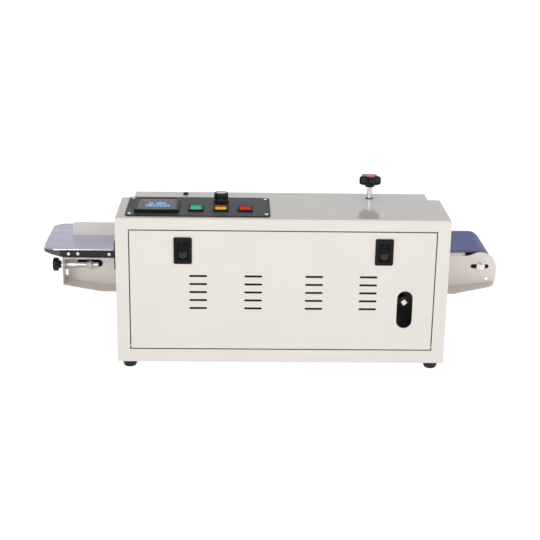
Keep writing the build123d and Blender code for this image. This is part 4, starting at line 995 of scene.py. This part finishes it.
def board():
    """The speed board on its posts, with transformer, heatsink, capacitors, terminals and chips."""
    lo, hi = span("control_board")
    left = lo[0]
    z = 27.6
    pcb = Shape().prism(rounded((left, hi[0]), (lo[1], hi[1]), 2), "z", 26, z)
    piece("board_pcb", pcb, BOARD, stands_for=["control_board"], bevel=0.15)
    core = Shape()
    for i in range(12):
        core.box((left + 6 + i * 3.33, left + 8.9 + i * 3.33), (56, 100), (z, 58))
    piece("transformer_core", core, PLATE, bevel=0.2)
    coil = Shape().prism(rounded((left + 14, left + 38), (50.5, 105.5), 4), "z", z + 5, 61.5)
    piece("transformer_coil", coil, COPPER, bevel=2.0, segments=4)
    sink = Shape().box((left + 57, left + 60), (60, 96), (z, 50))
    for i in range(8):
        sink.box((left + 60, left + 72), (60.5 + i * 4.7, 62 + i * 4.7), (z + 1, 50))
    piece("board_heatsink", sink, BLACK, bevel=0.3)
    caps, tops = Shape(), Shape()
    sleeve = [(HUB, z), (6.4, z), (6.5, z + 1.2), (6.1, z + 2), (6.5, z + 2.8), (6.5, 45.2), (6.1, 45.8),
              (5.4, 45.9), (HUB, 45.9)]
    lid = [(HUB, 45.8), (5.3, 45.8), (5.2, 46.1), (HUB, 46.1)]
    for y in (62, 80, 98):
        caps.turned((left + 86, y, 0), "z", sleeve, 36)
        tops.turned((left + 86, y, 0), "z", lid, 36)
    piece("board_capacitors", caps, finish("cap_sleeve", (0.02, 0.04, 0.16), 0.35, mottle=0.1))
    piece("capacitor_tops", tops, ALLOY)
    strip, slots = Shape(), Shape()
    for i in range(8):
        y = 55.5 + i * 6.25
        strip.box((left + 101, left + 110), (y, y + 5.6), (z, 38))
        slots.rod((left + 105.5, y + 2.8, 0), "z", 2.0, 37.8, 38.3, 20)
    piece("board_terminals", strip, finish("terminal_green", (0.03, 0.30, 0.12), 0.4), bevel=0.3)
    piece("terminal_screws", slots, BRIGHT)
    chips = Shape()
    for x, y, w, h in ((50, 70, 7, 18), (50, 92, 7, 10), (74, 54, 10, 6), (76, 104, 12, 6)):
        x += left
        chips.box((x - w / 2, x + w / 2), (y - h / 2, y + h / 2), (z, z + 3))
    piece("board_chips", chips, BLACK, bevel=0.3)
    posts = Shape()
    for x in (left + 4, hi[0] - 4):
        for y in (52, 108):
            posts.rod((x, y, 0), "z", 3, 15.5, 26, 6)
            posts.turned((x, y, 0), "z", [(HUB, z), (2.8, z), (2.4, z + 1.5), (HUB, z + 1.8)], 24)
    piece("board_posts", posts, BRASS)


MAINS_WIRE, POWER_WIRE, SWITCH_WIRE = 1.3, 1.2, 0.9
WIRES = {
    "mains_live": (MAINS_WIRE, WIRE_RED, [(-252, 34.8, 206.5), (-236, 34, 203), (-222, 20, 190),
                                          (-228, 22, 110), (-225, 40, 60), (-212, 54, 32)]),
    "mains_neutral": (MAINS_WIRE, WIRE_BLUE, [(-252, 34.8, 195.5), (-238, 36, 190), (-226, 24, 176),
                                              (-232, 26, 100), (-230, 44, 56), (-215, 54, 32)]),
    "earth": (MAINS_WIRE, WIRE_GREEN, [(-252, 23.2, 201), (-244, 22, 186), (-250, 30, 120),
                                       (-262, 36, 60), (-268, 44, 18)]),
    "motor_a": (POWER_WIRE, WIRE_RED, [(88, 13, 84), (60, 24, 96), (-20, 60, 60), (-90, 80, 40),
                                       (-150, 72, 34)]),
    "motor_b": (POWER_WIRE, BLACK, [(88, 13, 68), (56, 28, 86), (-20, 66, 52), (-90, 86, 36),
                                    (-150, 79, 34)]),
    "fan": (POWER_WIRE, BLACK, [(-34, 38, 108), (-60, 60, 90), (-110, 90, 60), (-150, 92, 34)]),
    "heater_a": (POWER_WIRE, WHITE, [(-200, 98, 190), (-180, 116, 192), (-150, 118, 192),
                                     (-118, 120, 190), (-108, 132, 194), (-100, 141, 200)]),
    "heater_b": (POWER_WIRE, WHITE, [(-200, 92, 190), (-176, 112, 182), (-150, 114, 182),
                                     (-118, 120, 188), (-110, 134, 186), (-100, 141, 180)]),
}


def wiring():
    """The wires of the table above, and three from each rocker down to the board."""
    for name, (radius, material, points) in WIRES.items():
        cable(f"wire_{name}", points, radius, material)
    for i, x in enumerate((-149.2, -106.8, -64.8)):
        for k, material in enumerate((WIRE_RED, BLACK, WIRE_BLUE)):
            y = 47 + 8 * k
            points = [(x, y, 243), (x + 1, y + 2, 232), (x - 12, 80 + 3 * k, 216),
                      (x - 30, 108 + 2 * k, 200 - 6 * i), (-190 + 4 * k, 114 + k, 150),
                      (-176 - 5 * i, 112, 80),
                      (-156, 106 - 8 * k - 3 * i, 48), (-152, 100 - 9 * k - 3 * i, 34)]
            cable(f"wire_switch_{i}_{k}", points, SWITCH_WIRE, material)


def spring():
    """A coil in two halves: the lower one stands on the arm, the upper one hangs from the screw's cap."""
    lo, hi = span("pressure_spring")
    x, y, _ = pivot("pressure_knob_turn")
    wire, coil_r, turns, steps, sides = 0.8, 4.6, 4.6, 160, 10
    low, high = lo[2] + wire, hi[2] - wire
    flat = 0.12
    rings = []
    for f in [i / steps for i in range(steps + 1)]:
        a = TAU * turns * f
        z = low + (high - low) * min(1, max(0, (f - flat) / (1 - 2 * flat)))
        ring = []
        for k in range(sides):
            b = TAU * k / sides
            r = coil_r + wire * math.cos(b)
            ring.append((x + r * math.cos(a), y + r * math.sin(a), z + wire * math.sin(b)))
        rings.append(ring)
    middle = steps // 2
    lower = piece("spring_coil_lower", Shape().loft(rings[:middle + 1]), TURNED, "press_arm",
                  ["pressure_spring"], smooth=60)
    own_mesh(lower)
    upper = piece("spring_coil_upper", Shape().loft(rings[middle:]), TURNED, "press_cap", smooth=60)
    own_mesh(upper)


def trims():
    """Tray edge strip, a dark strip in the door's seams as painted shade, hood plug, black pads behind the
    vents as painted shade, and rod grommet.
    """
    lo, hi = span("tray_strip")
    strip = Shape().box((lo[0], hi[0]), (lo[1], hi[1]), (lo[2], hi[2] - 1.9))
    piece("tray_edge_strip", strip, STRIP, stands_for=["tray_strip"], bevel=0.4)
    lo, hi = span("door_panel")
    # A dark strip just behind the door's edges and along its foot: painted shade in the seams.
    rebate, gap, reach = Shape(), 0.3, 4.5
    for x in ((lo[0] - reach, lo[0] - gap), (hi[0] + gap, hi[0] + reach)):
        rebate.box(x, (1.55, 2.8), (60, hi[2] + 0.4))
    rebate.box((lo[0] - reach, hi[0] + reach), (1.55, 2.8), (hi[2] + 0.4, hi[2] + reach))
    rebate.box((lo[0] - reach, hi[0] + reach), (1.55, 12), (34.2, 37.1))
    piece("door_seam_shade", rebate, SEAM_SHADE)
    top = span("case_shell")[1][2]
    dome = [(HUB, -3), (3.9, -3), (3.9, 0), (5.0, 0), (5.0, 1.0), (4.7, 2.4), (3.9, 3.2), (HUB, 3.6)]
    piece("hood_plug", Shape().turned((-171, 154.5, top), "z", dome, 40), GLOSSY, smooth=50)
    # Black pads just behind the vent slots: painted shade for the dark inside.
    pads, half_x, half_z, middle = Shape(), 20, 35, 142.3
    for x in (-144, -50, 54, 147):
        pads.box((x - half_x, x + half_x), (1.9, 3.2), (middle - half_z, middle + half_z))
    piece("vent_shade_pads", pads, BLACK, "door")
    x, y, _ = pivot("pressure_knob_turn")
    bush = [(4.7, -2.6), (5.4, -2.6), (5.4, 0), (6.6, 0), (6.4, 0.7), (4.7, 0.8)]
    piece("rod_grommet", Shape().tube((x, y, top), "z", bush, 48), BLACK, smooth=40)


def axle_covers():
    """Black slides behind the conveyor's axle slots."""
    roller_lo, roller_hi = span("head_roller")
    for name, body, joint, shift, half in (("head_slot", "frame", "head_roller_turn", -1.8, 22),
                                           ("tail_slot", "tail_carriage", "tail_roller_turn", 0, 29)):
        x, _, z = pivot(joint)
        outer = rounded((x + shift - half, x + shift + half), (z - 9.5, z + 9.5), 3, 5)
        steps = [math.radians(-90 + 15 * (i + 0.5)) for i in range(24)]
        hole = [(x + 5.1 * math.cos(a), z + 5.1 * math.sin(a)) for a in steps]
        for side, y in (("near", roller_lo[1] - 11.3), ("far", roller_hi[1] + 3.8)):
            slide = ring_prism(Shape(), outer, hole, "y", y, y + 3)
            piece(f"{name}_slide_{side}", slide, BLACK, body)


def tail_carriage():
    """Tail axle with a chromed eye for the tension screw on the near side and a block on the far side."""
    lo, hi = span("tail_carriage")
    x, _, z = pivot("tail_roller_turn")
    near, far = lo[1] + 13.9, hi[1] - 6.4
    profile = [(HUB, lo[1]), (5.6, lo[1]), (6.8, lo[1] + 1.2), (6.8, near), (HUB, near)]
    eye = Shape().turned((x, 0, z), "y", profile, 6)
    half = 6.8
    sleeve = [(HUB, x - half), (4.9, x - half), (5.4, x - half + 0.6), (5.4, x + half - 0.6),
              (4.9, x + half),
              (HUB, x + half)]
    eye.turned((0, lo[1] + 6, z), "x", sleeve, 32)
    piece("tension_eye", eye, TURNED, "tail_carriage", ["tail_carriage"], bevel=0.5)
    axle = Shape().rod((x, 0, z), "y", 4.95, near - 1, hi[1] - 1, 40)
    piece("tail_axle", axle, TURNED, "tail_carriage")
    block = Shape().box((x - 9, x + 9), (far, hi[1]), (lo[2], hi[2]))
    piece("tail_block", block, TURNED, "tail_carriage", bevel=0.8)


def tray():
    """Folded tray with a rolled edge; its rim grows shallower round the left end. The rolled edge is a
    painted highlight, the rim a painted dark reflection.
    """
    lo, hi = span("infeed_tray")
    corner_r, steps = 27, 18
    bend_x, rim_end = -404, -384
    line = [(hi[0], lo[1], 0, -1), (bend_x, lo[1], 0, -1)]
    for y, start in ((lo[1] + corner_r, 270), (hi[1] - corner_r, 180)):
        for i in range(steps + 1):
            a = math.radians(start - 90 * i / steps)
            u, v = math.cos(a), math.sin(a)
            line.append((lo[0] + corner_r + corner_r * u, y + corner_r * v, u, v))
    line.append((rim_end, hi[1], 0, 1))
    top, sheet, roll, drop = hi[2], 1.5, 1.8, 2.4
    fold = ((0, top - drop), (0.15, top - sheet), (0.5, top - 0.8), (1.0, top - 0.3), (roll, top),
            (roll, top - sheet), (sheet, top - drop))
    folds, walls = [], []
    for x, y, nx, ny in line:
        low = lo[2] + 5.3 * min(1, max(0, (bend_x - x) / 22))
        wall = ((0, low), (0, top - drop), (sheet, top - drop), (sheet, low))
        folds.append([(x - nx * d, y - ny * d, z) for d, z in fold])
        walls.append([(x - nx * d, y - ny * d, z) for d, z in wall])
    edge = [(x - nx * roll, y - ny * roll) for x, y, nx, ny in line] + [(rim_end, hi[1]), (hi[0], hi[1])]
    top_sheet = Shape().prism(edge, "z", top - sheet, top)
    piece("tray_sheet", top_sheet, POLISHED, stands_for=["infeed_tray"], smooth=45)
    # The rolled edge in the brighter, smoother metal: a painted highlight along the fold.
    piece("tray_fold_highlight", Shape().loft(folds), BRIGHT, smooth=60)
    # The rim in the dark metal: a painted dark reflection.
    piece("tray_rim", Shape().loft(walls), RIM_DARK_REFLECTION, smooth=45)


# ---------------------------------------------------------------- light, floor and camera

def backdrop():
    """White to the camera; to the object, a dim room with a bright backdrop low down behind it."""
    world = bpy.data.worlds.new("studio")
    bpy.context.scene.world = world
    world.use_nodes = True
    t = world.node_tree
    background = t.nodes["Background"]
    xyz = node(t, "ShaderNodeSeparateXYZ")
    t.links.new(node(t, "ShaderNodeTexCoord").outputs["Generated"], xyz.inputs[0])
    low = ramp(t, xyz.outputs["Z"], 0.30, 0.62, 1, 0)
    behind = ramp(t, xyz.outputs["Y"], 0.0, 0.6, 0, 1)
    glow = node(t, "ShaderNodeMath", operation="MULTIPLY")
    t.links.new(low, glow.inputs[0])
    t.links.new(behind, glow.inputs[1])
    room = ramp(t, glow.outputs[0], 0, 1, 0.36, 0.86)
    seen = node(t, "ShaderNodeLightPath")
    strength = node(t, "ShaderNodeMix", data_type="FLOAT")
    t.links.new(seen.outputs["Is Camera Ray"], strength.inputs[0])
    t.links.new(room, strength.inputs[2])
    strength.inputs[3].default_value = 1.05
    t.links.new(strength.outputs[0], background.inputs["Strength"])
    background.inputs["Color"].default_value = (0.985, 0.99, 1.0, 1)


def lamp(name, place, size, power, colour):
    """A disc of light turned towards the machine's middle."""
    data = bpy.data.lights.new(name, "AREA")
    data.shape = "DISK"
    data.size = size
    data.energy = power
    data.color = colour
    obj = show(name, data)
    obj.location = place
    obj.rotation_mode = "QUATERNION"
    obj.rotation_quaternion = (Vector((0, 0, 0.15)) - Vector(place)).to_track_quat("-Z", "Y")


def studio():
    """The backdrop, a white floor that glows a little more to the camera, and the lamps."""
    backdrop()
    size = 30
    floor = bpy.data.meshes.new("floor")
    floor.from_pydata([(-size, -size, 0), (size, -size, 0), (size, size, 0), (-size, size, 0)], [],
                      [(0, 1, 2, 3)])
    plane = show("floor", floor)
    pale = finish("floor_white", (0.88, 0.88, 0.88), 0.7, grain=0.0, mottle=0.0, wear=0.0, specular=0.1,
                  glow=((1.0, 1.0, 1.0), 0.42))
    t = pale.node_tree
    seen = node(t, "ShaderNodeLightPath")
    t.links.new(ramp(t, seen.outputs["Is Camera Ray"], 0, 1, 0.42, 0.74),
                t.nodes["Principled BSDF"].inputs["Emission Strength"])
    floor.materials.append(pale)
    lamp("key", (-1.3, -2.3, 1.05), 1.6, 19, (1.0, 0.985, 0.965))
    lamp("bounce", (0.1, -1.4, 0.08), 1.2, 2.4, (1.0, 0.99, 0.975))
    lamp("fill", (1.8, -1.8, 0.7), 1.8, 15, (1.0, 0.99, 0.98))
    lamp("top", (0.1, 0.5, 2.6), 2.2, 4, (0.96, 0.97, 1.0))


def camera():
    """The photo's viewing point: from the door side, a little left of the middle and above."""
    yaw, pitch, roll = math.radians(1.548), math.radians(18.343), math.radians(0.956)
    forward = Vector((math.sin(yaw) * math.cos(pitch), math.cos(yaw) * math.cos(pitch), -math.sin(pitch)))
    right = Vector((math.cos(yaw), -math.sin(yaw), 0))
    up = right.cross(forward)
    r = right * math.cos(roll) + up * math.sin(roll)
    u = up * math.cos(roll) - right * math.sin(roll)
    data = bpy.data.cameras.new("camera")
    data.sensor_width = 36
    data.lens = 82.46
    obj = show("camera", data)
    turn = Matrix((r, u, -forward)).transposed()
    obj.matrix_world = Matrix.Translation(at(-75.8, -1998.6, 846.1)) @ turn.to_4x4()
    bpy.context.scene.camera = obj


def build():
    dress_cad()
    star_knob()
    speed_knob()
    tension_knob()
    feet()
    screws()
    controller()
    rockers()
    latches()
    conveyor_belt()
    chains()
    seal_wheels()
    motor()
    fan()
    board()
    wiring()
    spring()
    trims()
    axle_covers()
    tail_carriage()
    tray()
    studio()
    camera()
    bpy.context.scene.view_settings.view_transform = "Standard"


build()
